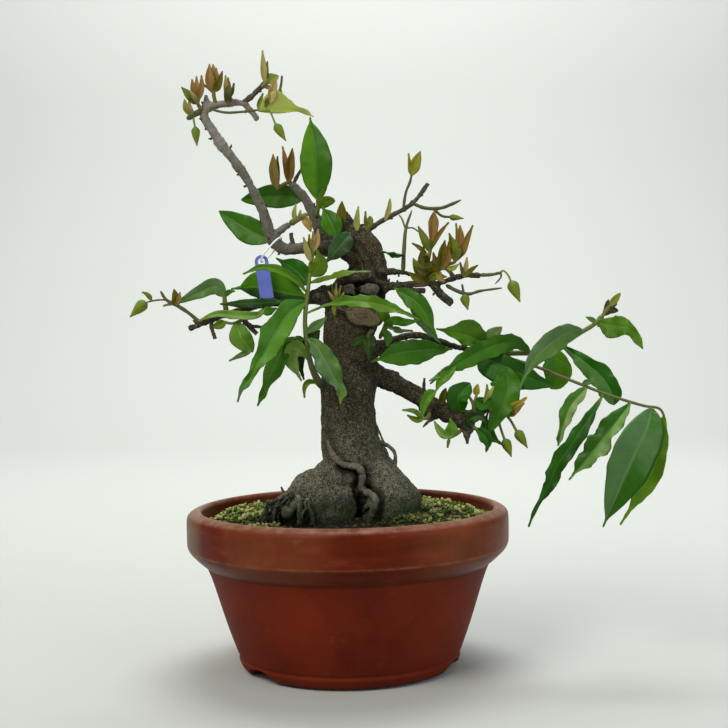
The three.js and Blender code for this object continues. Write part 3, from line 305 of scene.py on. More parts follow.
# Blade colours: [left half, right half, underside]
tones = {
    "mature": ("#3a7002", "#356b02", "#6d8c4c"),
    "lit": ("#588b26", "#437b19", "#7f9c58"),
    "fresh": ("#598a1b", "#507b13", "#86a050"),
    "grassy": ("#4f7b11", "#5f8526", "#86a050"),
    "deep": ("#215402", "#246002", "#5f7f3c"),
    "halfLit": ("#548902", "#386f02", "#6d8c4c"),
    # Painted light and shade: one half of the blade in shade, the other lit
    "halfDark": ("#214f02", "#4f8908", "#6d8c4c"),
    "sheen": ("#537835", "#577947", "#7d9566"),
    # Painted sheen: one half of the blade grey-green
    "cool": ("#276302", "#487732", "#6d8c56"),
    "olive": ("#607702", "#4b6c02", "#7f8a48"),
    "blueGreen": ("#386e0b", "#43710e", "#6f8c5e"),
    "dusk": ("#1c3802", "#2d5321", "#5f7a52"),
    "paleUnder": ("#728d53", "#6b884a", "#7d9566"),
    "earthy": ("#494f1c", "#475117", "#6f7048"),
    "bright": ("#497702", "#4b7811", "#86a848"),
    "dark": ("#1c3602", "#264102", "#4d6c38"),
    "young": ("#84811e", "#8a882c", "#a0a050"),
    "bronze": ("#90793c", "#947b42", "#9a8650"),
    "bronzeOlive": ("#696002", "#605702", "#8a8040"),
    "oliveBud": ("#69741c", "#717c2e", "#8f9450"),
    "yellowBud": ("#969b54", "#9b9b45", "#aaa868"),
    "limeTop": ("#abb558", "#a0a94a", "#b4ba78"),
    "ochreBud": ("#a19158", "#a49a57", "#b0a060"),
    "flowerBud": ("#607211", "#556702", "#83984f"),
    "rust": ("#7b5c1e", "#87692c", "#937841"),
    "copper": ("#8f6c38", "#96743f", "#a08552"),
    "tanBud": ("#9a8450", "#a8935f", "#a8955f"),
    "lime": ("#6f9a1e", "#5f8c14", "#86a050"),
    "softLime": ("#7d9b4a", "#6a8f35", "#8fa860"),
    "twoTone": ("#668f42", "#2a5c04", "#7d9566"),
    # Painted sheen: one half of the blade pale
    "paleRight": ("#84a060", "#47781c", "#8aa468"),
    # Painted sheen: one half of the blade grey-green
    "greyLeft": ("#2b6108", "#4c7440", "#6d8c56"),
    "orangeBud": ("#948a2a", "#a39532", "#a39a50"),
    "darkBud": ("#5a5224", "#54501c", "#6a6430"),
    "tip": ("#4a4028", "#574a30", "#5f5236"),
}

stemTones = {
    "olive": "#4c4a22",
    "lime": "#6b7632",
    "mature": "#5a6326",
    "bright": "#66702c",
    "dark": "#45432a",
    "young": "#75683a",
    "bronze": "#6e5a33",
    "flowerBud": "#676a30",
    "bark": "#40382f",
}


# Half the blade's width: an oval body, then a narrow tail that is drawn out to the tip
def leafHalfWidth(along, form):
    body = min(along / (1 - form["tail"]), 1.0)
    eased = body ** (math.log(0.5) / math.log(form["widest"])) if body > 0 else 0.0
    swell = max(math.sin(math.pi * eased), 0.0) ** form["blunt"]
    tail = form["tailWidth"] / 2 * min(1, 2 * (1 - along) / (form["tail"] + 0.08)) if along > 0.5 else 0.0
    return max(form["width"] / 2 * swell, tail if form["tail"] else 0.0, 0.55)


def addLeaf(build, places, form, seed):
    form = {**leafForm, **form}
    points = [spot(p) for p in places]
    length = lineLength(points)
    narrow = form["width"] < leafLook["narrow"]
    if form["tail"] is None:
        form["tail"] = 0.0 if narrow or form["blunt"] < 0.8 else 0.1
    rows = max(10, min(44, round(length / leafLook["rowSpacing"])))
    columns = 4 if narrow else 7
    veins = max(3.0, length / leafLook["veinSpacing"])
    if narrow:
        veins = max(2.5, length / leafLook["scaleVeins"])
    leftTone, rightTone, below = (linear(colour) for colour in tones[form["tone"]])
    rib = mixed(linear(leafLook["rib"]), rightTone, 0.4)
    drift = random.Random(seed).uniform(0, 50)
    fold = math.radians(form["fold"])
    blade = leafLook["bladeThickness"] * (0.75 if narrow else 1.0)
    rings, ringTints, ringUvs = [], [], []
    for row in range(rows + 1):
        share = row / rows
        along = (share + 0.5 - 0.5 * math.cos(math.pi * share)) / 2
        centre, forward, side, face = frameOn(points, along, form["roll"])
        reach = leafHalfWidth(along, form) if 0 < row < rows else 0.3 if row == rows else 0.55
        stalk = 1 - smoothStep(0.55, 1.7, reach)
        ends = math.sin(math.pi * along)
        swing = 2 * math.pi * form["ripples"] * along
        upper, lower, upperTints, lowerTints, upperUvs = [], [], [], [], []
        for column in range(-columns, columns + 1):
            offset = column / columns
            out = abs(offset)
            half = 0 if offset < 0 else 1
            slow = noise.noise((along * length * 0.17 + half * 7, drift, 0))
            quick = noise.noise((along * length * 0.42 + half * 7, drift, 9))
            ragged = 1 + form["ragged"] * (0.24 * slow + 0.05 * quick) * (1 - stalk)
            across = reach * form["right" if half else "left"] * out * ragged
            wave = 1.35 * form["wave"] * ends * math.sin(swing + 2 * half) * out ** 1.4
            wave += 0.7 * form["wave"] * ends * math.sin(swing * 2.6 + drift) * out ** 3
            vein = along * veins - leafLook["veinSweep"] * out + 0.5 * half
            dome = leafLook["quilting"] * min(1, reach / 5) * (0.5 - 0.5 * math.cos(2 * math.pi * vein))
            dome *= math.sin(math.pi * min(out * 1.05, 1)) * (1 - stalk)
            lift = across * math.sin(fold) * (0.75 + 0.25 * out) + wave + dome
            base = centre + side * ((1 if half else -1) * across * math.cos(fold)) + face * lift
            edge = max(1 - out ** 5, 0.0)
            thick = (blade / 2 * edge) * (1 - stalk) + 0.5 * math.sqrt(max(1 - out * out, 0)) * stalk
            paintedCreaseShade = leafLook["midribGroove"] * math.exp(-(across / 0.55) ** 2) * (1 - stalk)
            keel = leafLook["midribKeel"] * math.exp(-(across / 0.6) ** 2) * (1 - stalk) * (1 - 0.7 * along)
            keel += 0.1 * math.exp(-((vein - round(vein)) / 0.1) ** 2) * (1 - out) * (1 - stalk)
            colour = rightTone if half else leftTone
            if form["tip"]:
                colour = mixed(colour, linear(form["tip"]), smoothStep(0.72, 0.98, along))
            ribbed = 0.7 * stalk * (1 - smoothStep(0.2, 0.5, along))
            upper.append(base + face * (thick - paintedCreaseShade * (0.5 if narrow else 1)))
            upperTints.append(mixed(colour, rib, ribbed))
            upperUvs.append((along * veins, 0.5 + offset * 0.5))
            if 0 < column + columns < 2 * columns:
                lower.append(base - face * (thick + keel))
                lowerTints.append(mixed(below, rib, ribbed))
        rings.append(upper + lower[::-1])
        ringTints.append(upperTints + lowerTints[::-1])
        ringUvs.append(upperUvs + upperUvs[1:-1][::-1])
    skin(build, rings, ringTints, ringUvs)


def addStem(build, places, tint, tipTint, knots):
    points = [spot(p) for p in places]
    radii = [p[3] for p in places]
    steps = (len(places) - 1) * 4
    rings, ringTints = [], []
    for step in range(steps + 1):
        along = step / steps
        centre, forward, side, face = frameOn(points, along)
        grow = 1 + knots * noise.noise(centre * 0.35)
        radius = max(between(radii, along), 0.28) * grow * (0.6 if step in (0, steps) else 1)
        rings.append(ringAt(centre, side, face, [radius] * 8))
        ringTints.append(mixed(tint, tipTint, along))
    skin(build, rings, ringTints)


# A ribbed flower bud: a short calyx cup with four ribs, drawn out to a twisted brown tip
def addBud(build, start, end, radius):
    look = {"body": tones["flowerBud"][0], "calyx": "#4f6a2c", "tip": "#8a5f2c", "sides": 16, "steps": 20}
    swell = [0.42, 0.78, 0.97, 1.0, 0.96, 0.86, 0.72, 0.56, 0.4, 0.26, 0.14]
    points = [spot(start), spot([(a + b) / 2 for a, b in zip(start, end)]), spot(end)]
    rings, ringTints = [], []
    for step in range(look["steps"] + 1):
        along = step / look["steps"]
        centre, forward, side, face = frameOn(points, along)
        size = radius * between(swell, along)
        cup = 0.07 * (1 - smoothStep(0.2, 0.3, along))
        ribDepth = 0.16 * math.sin(math.pi * along) ** 0.6
        radii = [size * (1 + cup + ribDepth * math.cos(4 * turn + 2.6 * along))
                 for turn in turns(look["sides"])]
        rings.append(ringAt(centre, side, face, radii))
        browned = mixed(linear(look["body"]), linear(look["tip"]), smoothStep(0.6, 0.95, along) * 0.75)
        ringTints.append(mixed(browned, linear(look["calyx"]), 1 - smoothStep(0.12, 0.3, along)))
    skin(build, rings, ringTints)


def leafMaterial(name, roughness, gloss, veinLight, mottle):
    material, tree = newMaterial(name)
    tint = addNode(tree, "ShaderNodeAttribute", out="Color", attribute_name="tint")
    leafMap = addNode(tree, "ShaderNodeUVMap", uv_map="leafMap")
    along, aside = addNode(tree, "ShaderNodeSeparateXYZ", [leafMap], None)[:2]
    where = addNode(tree, "ShaderNodeTexCoord", out="Object")
    # Blotches about 5 mm across, a grain of about 0.7 mm, and a slow wander of the veins
    patches, grain, wobble = (
        addNode(tree, "ShaderNodeTexNoise",
                {"Vector": where, "Scale": scale, "Detail": detail, "Roughness": rough})
        for scale, detail, rough in ((190.0, 4.0, 0.6), (1500.0, 2.0, 0.55), (260.0, 1.0, 0.55)))
    signed = addNode(tree, "ShaderNodeMath", [aside, 2.0, -1.0], operation="MULTIPLY_ADD")
    outward = addNode(tree, "ShaderNodeMath", [signed], operation="ABSOLUTE")
    right = addNode(tree, "ShaderNodeMath", [signed, 0.0], operation="GREATER_THAN")
    sweep = leafLook["veinSweep"]
    swept = addNode(tree, "ShaderNodeMath", [outward, -sweep, along], operation="MULTIPLY_ADD")
    wander = addNode(tree, "ShaderNodeMath", [wobble, 0.24, swept], operation="MULTIPLY_ADD")
    shifted = addNode(tree, "ShaderNodeMath", [wander, 0.38], operation="ADD")
    staggered = addNode(tree, "ShaderNodeMath", [right, 0.5, shifted], operation="MULTIPLY_ADD")
    phase = addNode(tree, "ShaderNodeMath", [staggered], operation="FRACT")
    offVein = addNode(tree, "ShaderNodeMath", [phase, 0.5], operation="SUBTRACT")
    fromVein = addNode(tree, "ShaderNodeMath", [offVein], operation="ABSOLUTE")
    lineWidth = 1 / 11  # of a vein and of the midrib, in vein spacings and half blades
    veinLine = addNode(tree, "ShaderNodeMapRange", [fromVein, 0.0, lineWidth, 1.0, 0.0])
    inward = addNode(tree, "ShaderNodeMath", [1.05, outward], operation="SUBTRACT", use_clamp=True)
    veins = addNode(tree, "ShaderNodeMath", [veinLine, inward], operation="MULTIPLY")
    veinShare = addNode(tree, "ShaderNodeMath", [veins, veinLight], operation="MULTIPLY")
    ribShare = addNode(tree, "ShaderNodeMapRange", [outward, 0.0, lineWidth, 0.32, 0.0])
    patchShare = addNode(tree, "ShaderNodeMath", [patches, mottle], operation="MULTIPLY")
    duller, lighter = (
        addNode(tree, "ShaderNodeMix", {0: 1.0, 6: tint, 7: colour}, 2, data_type="RGBA", blend_type=mode)
        for colour, mode in ((leafLook["dullPatch"], "MULTIPLY"), (leafLook["veinGlow"], "ADD")))
    colour = tint
    for share, layer in ((patchShare, duller), (veinShare, lighter), (ribShare, lighter)):
        colour = addNode(tree, "ShaderNodeMix", {0: share, 6: colour, 7: layer}, 2, data_type="RGBA")
    rough = addNode(tree, "ShaderNodeMath", [patches, 0.2, roughness - 0.1], operation="MULTIPLY_ADD")
    fine = addNode(tree, "ShaderNodeMath", [grain, 0.3], operation="MULTIPLY")
    relief = addNode(tree, "ShaderNodeMath", [veins, -0.5, fine], operation="MULTIPLY_ADD")
    bump = addNode(tree, "ShaderNodeBump", {"Height": relief, "Distance": 0.00012, "Strength": 0.8})
    shader = addNode(tree, "ShaderNodeBsdfPrincipled", {
        "Base Color": colour, "Roughness": rough, "Normal": bump, "Specular IOR Level": 0.16,
        "Coat Weight": gloss, "Coat Roughness": 0.3})
    addNode(tree, "ShaderNodeOutputMaterial", [shader])
    return material


leafMaterials = {
    # Leathery persimmon leaf with a waxed cuticle: broad soft highlights, paler side veins
    "mature": leafMaterial("waxyPersimmonLeaf", 0.46, 0.06, 0.09, 0.5),
    "bright": leafMaterial("freshPersimmonLeaf", 0.45, 0.05, 0.2, 0.35),
    "blueGreen": leafMaterial("greyGreenPersimmonLeaf", 0.48, 0.08, 0.12, 0.5),
    "dark": leafMaterial("shadedPersimmonLeaf", 0.45, 0.04, 0.1, 0.4),
    # Downy new growth: duller, with its bronze colour not yet gone
    "young": leafMaterial("downyYoungLeaf", 0.58, 0.03, 0.2, 0.35),
    "bronze": leafMaterial("bronzeYoungLeaf", 0.58, 0.03, 0.15, 0.6),
    "flowerBud": leafMaterial("ribbedFlowerBud", 0.55, 0.03, 0.0, 0.4),
}


# A twig with its tone, and places of [across, down, depth, radius]
def stem(tone, places):
    return "stem", places, {"tone": tone}


def leaf(width, tone, places, **form):
    return "leaf", places, {"width": width, "tone": tone, **form}


def bud(radius, start, end):
    return "bud", (start, end), {"radius": radius}


# Each shoot: the solid it stands for, its leaf material, and what grows on it
shoots = [
    ("shoot_front_left", "mature", [
        stem("lime", [[321, 387, -7, 2], [312, 368, -12, 1.5], [307, 345, -15, 1.2], [305, 320, -16, 1.1],
              [308, 290, -15, 1], [311, 265, -14, 0.9], [315, 240, -13, 0.7]]),
        leaf(13.6, "lit", [[306.5, 301, -15.4], [291, 311, -20], [278, 329, -25], [268, 346, -28],
              [257, 364, -29], [250, 377, -29], [242, 388, -28], [237.5, 402, -27]],
             widest=0.44, tail=0.34, tailWidth=4.2, wave=1.3, ripples=4.2, roll=6, ragged=1.5,
             tip="#5f8458"),
        leaf(9.6, "blueGreen", [[307, 339, -14], [295, 341, -15], [283, 351, -18], [273.5, 369, -21],
              [266, 386, -21], [257.5, 406, -18]],
             widest=0.6, tail=0.14, tailWidth=3.4, wave=1.2, ragged=1.7),
        leaf(8.5, "dark", [[307, 345, -13.5], [298, 344, -11], [299, 361, -10], [304, 380, -11]], wave=0.6),
        leaf(6, "dark", [[310, 345, -13], [314, 337, -11], [320, 330, -11]], wave=0.5),
        leaf(7.8, "softLime", [[311, 364, -12.6], [303, 352, -16], [293, 348, -17.5], [291, 358, -17.5],
              [296, 370, -16.5], [301.5, 381, -15]], widest=0.55, fold=20, ragged=1.8, wave=1),
        leaf(2.8, "olive", [[319, 383, -8.2], [308, 382, -14], [304.5, 388, -15], [304.5, 398, -15]],
             wave=0.3),
        leaf(11, "sheen", [[306.5, 338, -15.2], [316, 346, -19], [324, 359, -22], [333, 376, -22.5],
              [341, 390, -22], [340.5, 404, -21]],
             wave=1.6, ripples=3.8, widest=0.56, tail=0.2, tailWidth=4.6, ragged=1.9, tip="#6f8a30"),
        leaf(7.2, "grassy", [[305.5, 314, -15.8], [328, 304.5, -24], [350, 301, -29], [375, 303.5, -30],
              [396, 309.5, -29], [420, 320, -26]], widest=0.68, wave=1.1, ripples=3.6, roll=18, ragged=1.9),
        leaf(6.4, "olive", [[309, 283, -14.7], [330, 278.5, -19], [350, 273, -21], [371, 272, -20]],
             roll=62, wave=0.4),
        leaf(4.5, "sheen", [[306, 333, -15.5], [317, 325, -18], [327, 317, -18]], wave=0.4),
        leaf(9, "olive", [[310, 276, -14.4], [319, 264, -16], [317, 249, -16]], wave=0.5),
        leaf(3.6, "ochreBud", [[311, 262, -14], [307, 250, -15], [303.5, 237, -15]], wave=0.3),
        leaf(3.8, "tanBud", [[313, 252, -13.6], [317, 241, -15], [318, 229, -15]], fold=30, wave=0.3),
        leaf(3, "oliveBud", [[312, 256, -13.8], [310, 246, -12], [309, 234, -12]], fold=30, wave=0.3),
        leaf(3, "tanBud", [[313, 252, -13.6], [313.5, 242, -12], [313, 231, -12]], fold=30, wave=0.3),
        leaf(12, "deep", [[308.5, 285, -14.9], [296, 271, -13], [276, 258, -12]], widest=0.45, wave=0.8),
        leaf(17.5, "halfDark", [[307, 297, -15.2], [285, 293, -9], [258, 287, -8], [231, 289, -9]],
             widest=0.55, left=0.8, right=1.15, wave=0.7, fold=6),
        leaf(4.2, "fresh", [[307.5, 294, -15.1], [297, 281, -21], [280, 270.5, -23], [262, 267, -23],
              [243, 274, -20]], wave=0.4, widest=0.5),
    ]),
    ("shoot_right_upper", "mature", [
        stem("mature", [[497, 353, 8, 1.5], [520, 353, 9, 1.4], [540, 352, 10, 1.3], [560, 345, 12, 1.3],
              [580, 333, 14, 1.2], [597, 322, 15, 1.1], [611, 304, 16, 0.8]]),
        leaf(11, "mature", [[531, 352, 9.6], [514, 342.5, 1], [490, 347, -5], [468, 358, -8],
              [448, 370, -10], [429, 381, -11]],
             widest=0.5, tail=0.15, tailWidth=3, wave=1.1, ripples=3.6, roll=12, ragged=1.8, tip="#6a9440"),
        leaf(5, "fresh", [[456, 367, -9.4], [447, 374, -10.4], [440, 382, -11], [436, 391, -11]], wave=0.5),
        leaf(5.4, "fresh", [[436, 391, -11], [429, 395, -12], [424, 405, -12], [422, 418, -12]], wave=0.6),
        leaf(3, "sheen", [[463, 365.5, -7.2], [446, 370, -9], [430, 384, -9]], wave=0.2),
        leaf(11.5, "sheen", [[584, 331, 14], [568, 333, 4], [548, 346, -5], [532, 362, -10],
              [519, 390, -12]], widest=0.5, wave=1, roll=8),
        leaf(15.5, "halfLit", [[551, 350, 11], [556, 362, 9], [557, 375, 8], [551, 389, 9]],
             widest=0.5, blunt=0.6, wave=0.7, ripples=2),
        leaf(11.5, "cool", [[560, 345, 12], [573, 353, 8], [588, 365, 4], [602, 378, 2], [611, 392, 1],
              [614, 405, 2]], widest=0.64, blunt=0.6, wave=1.1, ripples=3, ragged=1.3),
        leaf(12, "fresh", [[597, 322, 15], [613, 325.5, 12], [630, 329, 9], [643, 349, 8]],
             wave=1.6, ripples=3.2, widest=0.45, tail=0.16, tailWidth=4.6, ragged=1.9),
        leaf(3.6, "young", [[610, 306, 15.9], [615, 299.5, 15], [620.5, 293, 15]], wave=0.3, blunt=0.6),
        leaf(4.4, "tip", [[603, 315, 15.6], [610, 309.5, 18], [618, 311, 19]], wave=0.9, blunt=0.5),
        leaf(3, "tip", [[605, 313, 15.6], [607, 306, 17], [608.5, 299.5, 17]], wave=0.6, blunt=0.5),
        leaf(3, "earthy", [[606, 311, 15.6], [612, 305, 18], [617, 304, 19]], wave=0.6, blunt=0.5),
        leaf(3.4, "oliveBud", [[603, 315, 15.6], [600, 320, 18], [598, 327, 18]], wave=0.4, blunt=0.6),
        leaf(2.6, "sheen", [[597, 322, 15], [591, 319, 14], [586, 317, 14]], wave=0.2),
    ]),
    ("shoot_right_lower", "mature", [
        stem("olive", [[503, 357, 7, 0.95], [520, 361.5, 4, 0.85], [540, 368, 0, 0.8], [565, 378, -6, 0.75],
              [585, 386, -11, 0.75], [603, 393, -15, 0.7], [624, 400, -19, 0.7], [645, 406, -22, 0.7],
              [660, 409, -24, 0.65], [666, 422, -24, 0.45]]),
        leaf(7.4, "paleRight", [[587, 386.8, -11.4], [571, 405, -14], [563, 425, -14], [558, 446, -13]],
             wave=1.1, ripples=3.4, widest=0.42, tail=0.14, tailWidth=3, ragged=1.9),
        leaf(8.4, "deep", [[604, 393.3, -15.2], [591, 415, -18.5], [573, 442, -19.5], [557, 466, -18],
              [547, 489, -15.5], [535, 510, -13.5], [528.5, 527, -12]],
             widest=0.54, tail=0.2, tailWidth=2.2, wave=1.4, ripples=5, ragged=2.3),
        leaf(12.4, "twoTone", [[631, 402, -20.1], [608, 432, -25], [588, 457, -26], [569, 480, -24]],
             widest=0.48, tail=0.08, wave=1.2, ripples=3.6, roll=-20, ragged=1.5),
        leaf(21.5, "greyLeft", [[652, 407.4, -23], [646, 430, -30], [632, 460, -33], [618, 492, -31],
              [603, 527, -26]], widest=0.48, tail=0.05, wave=0.6, ripples=2, fold=20, ragged=0.25),
        leaf(10, "lime", [[664, 415, -24.1], [660, 440, -22], [655, 465, -18], [645, 487, -15],
              [633, 505, -14], [620, 525, -14]], widest=0.42, wave=1, ripples=3, ragged=1.3),
        leaf(3, "sheen", [[582, 385, -10.4], [588, 382, -13], [596, 383, -13]], wave=0.3),
    ]),
    ("leaf_crown", "mature", [
        stem("mature", [[316, 217, 6, 1.3], [318, 207, 5, 1], [317, 197, 4, 0.7]]),
        leaf(16.5, "halfLit", [[317, 200, 4.3], [316, 160, 2], [310, 117, 8]],
             widest=0.47, tail=0.05, wave=0.5, fold=18, ragged=0.35),
        leaf(2.6, "olive", [[317.5, 202, 4.5], [323, 192, 3], [328, 183, 3]], wave=0.2),
        leaf(5.6, "olive", [[318, 207, 5], [327, 201, 3], [335, 201, 4]], blunt=0.5, wave=0.3),
    ]),
    ("leaf_crown_back", "mature", [
        leaf(11, "mature", [[338, 238, -5], [331, 223, -4], [322, 206, 0]],
             widest=0.5, wave=0.5, ragged=0.4),
    ]),
    ("leaf_top_front", "blueGreen", [
        leaf(10.5, "dusk", [[350, 233, -3], [338, 249, -11], [324, 264, -15]], widest=0.42, wave=0.6),
    ]),
    ("leaf_upper_left", "mature", [
        leaf(12.5, "mature", [[304, 198, 16], [275, 196, 20], [241, 200, 18]],
             widest=0.45, blunt=0.7, wave=0.5, ragged=0.4),
    ]),
    ("leaf_left_upper", "mature", [
        leaf(13, "mature", [[271, 240.5, -8], [247, 229, -4], [219, 211, 0]],
             widest=0.42, blunt=0.75, wave=0.6, ripples=2.2, ragged=0.4),
    ]),
    ("buds_upper_left", "bronze", [
        stem("bronze", [[291, 182, 15, 1.2], [284, 184, 14, 0.9], [276, 190, 13, 0.7]]),
        leaf(6, "bronze", [[277, 189, 13.2], [274, 172, 12], [273, 154, 12]], fold=32, wave=0.3),
        leaf(3.4, "bronzeOlive", [[277.5, 189, 13.2], [277, 172, 14.5], [277.5, 156, 14.5]],
             fold=20, wave=0.2),
        leaf(3.4, "copper", [[288, 183, 14.6], [286, 165, 15], [282.5, 146, 16]], fold=20, wave=0.2),
        leaf(5.6, "rust", [[289, 182.5, 14.8], [290.5, 165, 13], [292.5, 148, 13]], fold=32, wave=0.3),
    ]),
    ("buds_inner_left", "young", [
        stem("young", [[290, 224, -7, 1.6], [298, 219, -6, 1.4], [308, 214, -3, 1.2]]),
        leaf(2.8, "yellowBud", [[295, 221, -6.4], [294, 213, -8], [296, 204, -8]], fold=24, wave=0.2),
        leaf(1.8, "yellowBud", [[298, 219, -6], [300, 214, -8.5], [300.5, 210, -9]], wave=0.1),
        leaf(4.6, "bronze", [[303, 216.5, -4.5], [308, 224, -8], [311, 232, -8]], fold=24, wave=0.3),
    ]),
    ("buds_top_left", "bronze", [
        stem("bark", [[202, 111, -23, 1.7], [195, 114, -24, 1.4], [187, 119, -25, 1.0]]),
        stem("bronze", [[202, 110, -24, 1.1], [198, 104, -25, 0.8], [199, 98, -25, 0.7]]),
        leaf(3.8, "copper", [[199, 100, -25], [194, 91, -27], [192, 79, -27]], fold=26, wave=0.2),
        leaf(3.6, "tanBud", [[199, 100, -25], [197, 90, -24], [196.5, 76, -23]], fold=26, wave=0.2),
        leaf(3.2, "copper", [[199, 100, -25], [201.5, 88, -26], [201.5, 75, -26]], fold=26, wave=0.2),
        leaf(4.2, "oliveBud", [[198, 104, -25], [190, 96, -29], [181.5, 87, -29]], fold=16, wave=0.4),
        leaf(2.4, "tanBud", [[198, 104, -25], [194, 97, -30], [190, 91, -30]], fold=16, wave=0.2),
        leaf(3.6, "yellowBud", [[192, 115.5, -24.4], [186, 108, -26], [184.5, 99, -26]], fold=26, wave=0.3),
        leaf(3.2, "tanBud", [[193, 115, -24.3], [190, 109, -27], [189, 101, -27]], fold=26, wave=0.3),
        stem("lime", [[193, 115, -24.3, 0.55], [194, 122, -25, 0.45], [195.5, 129, -25, 0.45]]),
        bud(1.8, [195.2, 127, -25], [197, 146, -25]),
    ]),
    ("buds_top_middle", "bronze", [
        stem("bronze", [[216, 104, -23, 1], [214, 97, -24, 0.9], [213.5, 90, -25, 0.8]]),
        stem("bronze", [[213.7, 93, -24.6, 0.7], [208, 88, -24, 0.6], [203, 84, -24, 0.5]]),
        leaf(4.6, "copper", [[213.5, 92, -24.7], [209.5, 79, -26], [209.5, 64, -25]], fold=30, wave=0.3),
        leaf(5.4, "tanBud", [[213.5, 92, -24.7], [214.5, 78, -24], [213, 64, -23]], fold=30, wave=0.3),
        leaf(3.4, "copper", [[213.5, 92, -24.7], [216, 80, -25], [216.5, 68, -24]], fold=30, wave=0.3),
        leaf(4.4, "bronzeOlive", [[213.7, 92, -24.7], [218, 84, -26], [222.5, 71, -26]], fold=30, wave=0.3),
    ]),
    ("buds_top_small", "bronze", [
        stem("bronze", [[228, 106, -24, 1], [228, 98, -26, 1], [228, 92, -27, 0.9]]),
        leaf(2.8, "tanBud", [[228, 101, -25.2], [226, 88, -26], [225.5, 75, -26]], fold=26, wave=0.2),
        leaf(2.8, "tanBud", [[228, 101, -25.2], [229, 89, -24], [228, 77, -24]], fold=26, wave=0.2),
        leaf(4.6, "darkBud", [[228, 102, -25], [228, 94, -29], [229, 85, -28]],
             blunt=0.5, fold=26, wave=0.2),
        leaf(1.8, "darkBud", [[230, 98, -27], [232.5, 91, -28], [234, 83, -28]], wave=0.1),
    ]),
    ("shoot_top", "young", [
        stem("bark", [[210, 109, -24, 0.7], [225, 112.5, -26, 0.6], [240, 112, -27, 0.6],
              [258, 110, -28, 0.65]]),
        stem("lime", [[258, 110, -28, 0.65], [262, 111, -28.5, 0.6], [270, 110, -29, 0.6]]),
        leaf(18, "limeTop", [[258, 111.5, -28], [272, 110.5, -29], [287, 110.5, -28], [299, 111.5, -27],
              [307, 114.5, -26], [313.5, 117, -26]],
             widest=0.38, blunt=1.6, tail=0.34, tailWidth=4.2, wave=0.5, ripples=2, fold=8, left=1,
             right=0.16, tip="#a8a070"),
        leaf(4.2, "limeTop", [[277, 104, -28.8], [279, 96, -29.4], [280.6, 87, -29.6]],
             widest=0.36, wave=0.3, fold=10),
        leaf(2.8, "oliveBud", [[258, 110.5, -28], [260, 102, -27], [263, 93, -27]], fold=26, wave=0.2),
        leaf(2.2, "darkBud", [[265.5, 107, -29.6], [267, 101, -31], [269.5, 96.5, -31]], fold=20, wave=0.4),
        leaf(4.4, "tanBud", [[270.5, 104, -30.6], [273, 91, -31], [276.5, 78, -31]], fold=26, wave=0.3),
        leaf(1.3, "darkBud", [[279, 93, -30.4], [281, 85, -31], [282, 75.6, -31]], fold=16, wave=0.2),
        stem("lime", [[270, 111, -28.6, 0.5], [273, 118, -29, 0.4], [276, 126, -29, 0.45]]),
        bud(1.9, [275.4, 124, -29], [286, 141, -29]),
    ]),
    ("buds_top_fork", "young", [
        stem("young", [[262, 88, -26, 1.3], [266, 82, -26, 1.2], [267, 79, -26, 0.9]]),
        leaf(3.2, "ochreBud", [[265, 84, -26], [263.5, 68, -27], [262.5, 50, -27]], fold=26, wave=0.3),
        leaf(3, "oliveBud", [[266, 83, -26], [266, 74, -25], [267.5, 61, -25]], fold=26, wave=0.3),
        leaf(5.6, "yellowBud", [[266, 82.5, -26], [271, 79, -24], [278.5, 76, -23]],
             blunt=0.6, fold=16, wave=0.3),
        leaf(2.2, "ochreBud", [[264, 85, -26], [268, 87, -24], [272, 86, -23]], wave=0.2),
    ]),
    ("bud_crown_left", "bronze", [
        leaf(5.8, "bronzeOlive", [[340, 235, -1], [341, 218, -3], [342, 201, -3]],
             fold=34, wave=0.3, widest=0.55),
    ]),
    ("bud_crown_middle", "young", [
        leaf(3.6, "yellowBud", [[357, 231, -3], [357, 218, -4], [358.5, 206, -4]],
             fold=30, wave=0.2, widest=0.35),
    ]),
    ("bud_crown_right", "young", [
        stem("young", [[366, 236, 2, 1], [366, 226, 0, 0.7]]),
        leaf(1.9, "oliveBud", [[366, 228, 0.4], [365.5, 220, 0], [365.5, 211, 0]], wave=0.1),
        leaf(3.8, "oliveBud", [[366, 229, 0.6], [370, 222, -1], [370, 216, -1]], blunt=0.5, wave=0.2),
    ]),
    ("bud_twig_right", "young", [
        leaf(2.8, "ochreBud", [[385, 221, 6], [389, 209, 5], [390, 198.5, 5]], blunt=0.5, fold=26, wave=0.2),
    ]),
    ("shoot_upper_right", "young", [
        stem("bark", [[403, 211, 11, 0.8], [406, 192, 11, 0.65], [410, 182, 11, 0.6], [412, 173, 11, 0.5]]),
        leaf(2.4, "young", [[411.4, 176, 11], [410, 166, 12], [408.5, 153, 12]], fold=20, wave=0.2),
        leaf(6, "young", [[411.4, 176, 11], [415, 164, 10], [420.5, 151, 10]], fold=16, wave=0.4),
    ]),
    ("flower_bud_upper_right", "flowerBud", [
        stem("bark", [[413, 203.5, 14.8, 1], [425, 208, 12, 0.95], [441, 208, 11, 0.85],
              [452, 204, 11, 0.75], [461, 200, 11, 0.5]]),
        stem("bark", [[433, 208.3, 11.5, 0.75], [442, 216, 10, 0.6], [452, 217, 10, 0.5]]),
        bud(1.4, [449.5, 217, 10], [464, 218.5, 10]),
    ]),
    ("shoot_vertical", "dark", [
        stem("dark", [[403, 273, -11, 1.1], [404, 250, -10, 0.95], [406, 228, -8, 0.75],
              [412, 210, -6, 0.45]]),
        stem("dark", [[405.8, 230, -8.2, 0.5], [402, 219, -5, 0.45], [399, 215, 3, 0.45]]),
        stem("dark", [[406, 228, -8, 0.45], [413, 228, -9, 0.4], [419, 232, -10, 0.4]]),
        leaf(7, "deep", [[403.8, 255, -10.2], [394, 254, -13], [381, 251, -13]], roll=68, wave=0.4),
    ]),
    ("shoot_bronze", "bronze", [
        stem("bronze", [[430, 283, -16, 1.1], [428, 265, -15, 1], [431, 246, -14, 0.8]]),
        leaf(6, "copper", [[431, 248, -14], [433, 229, -14], [434, 211, -15]],
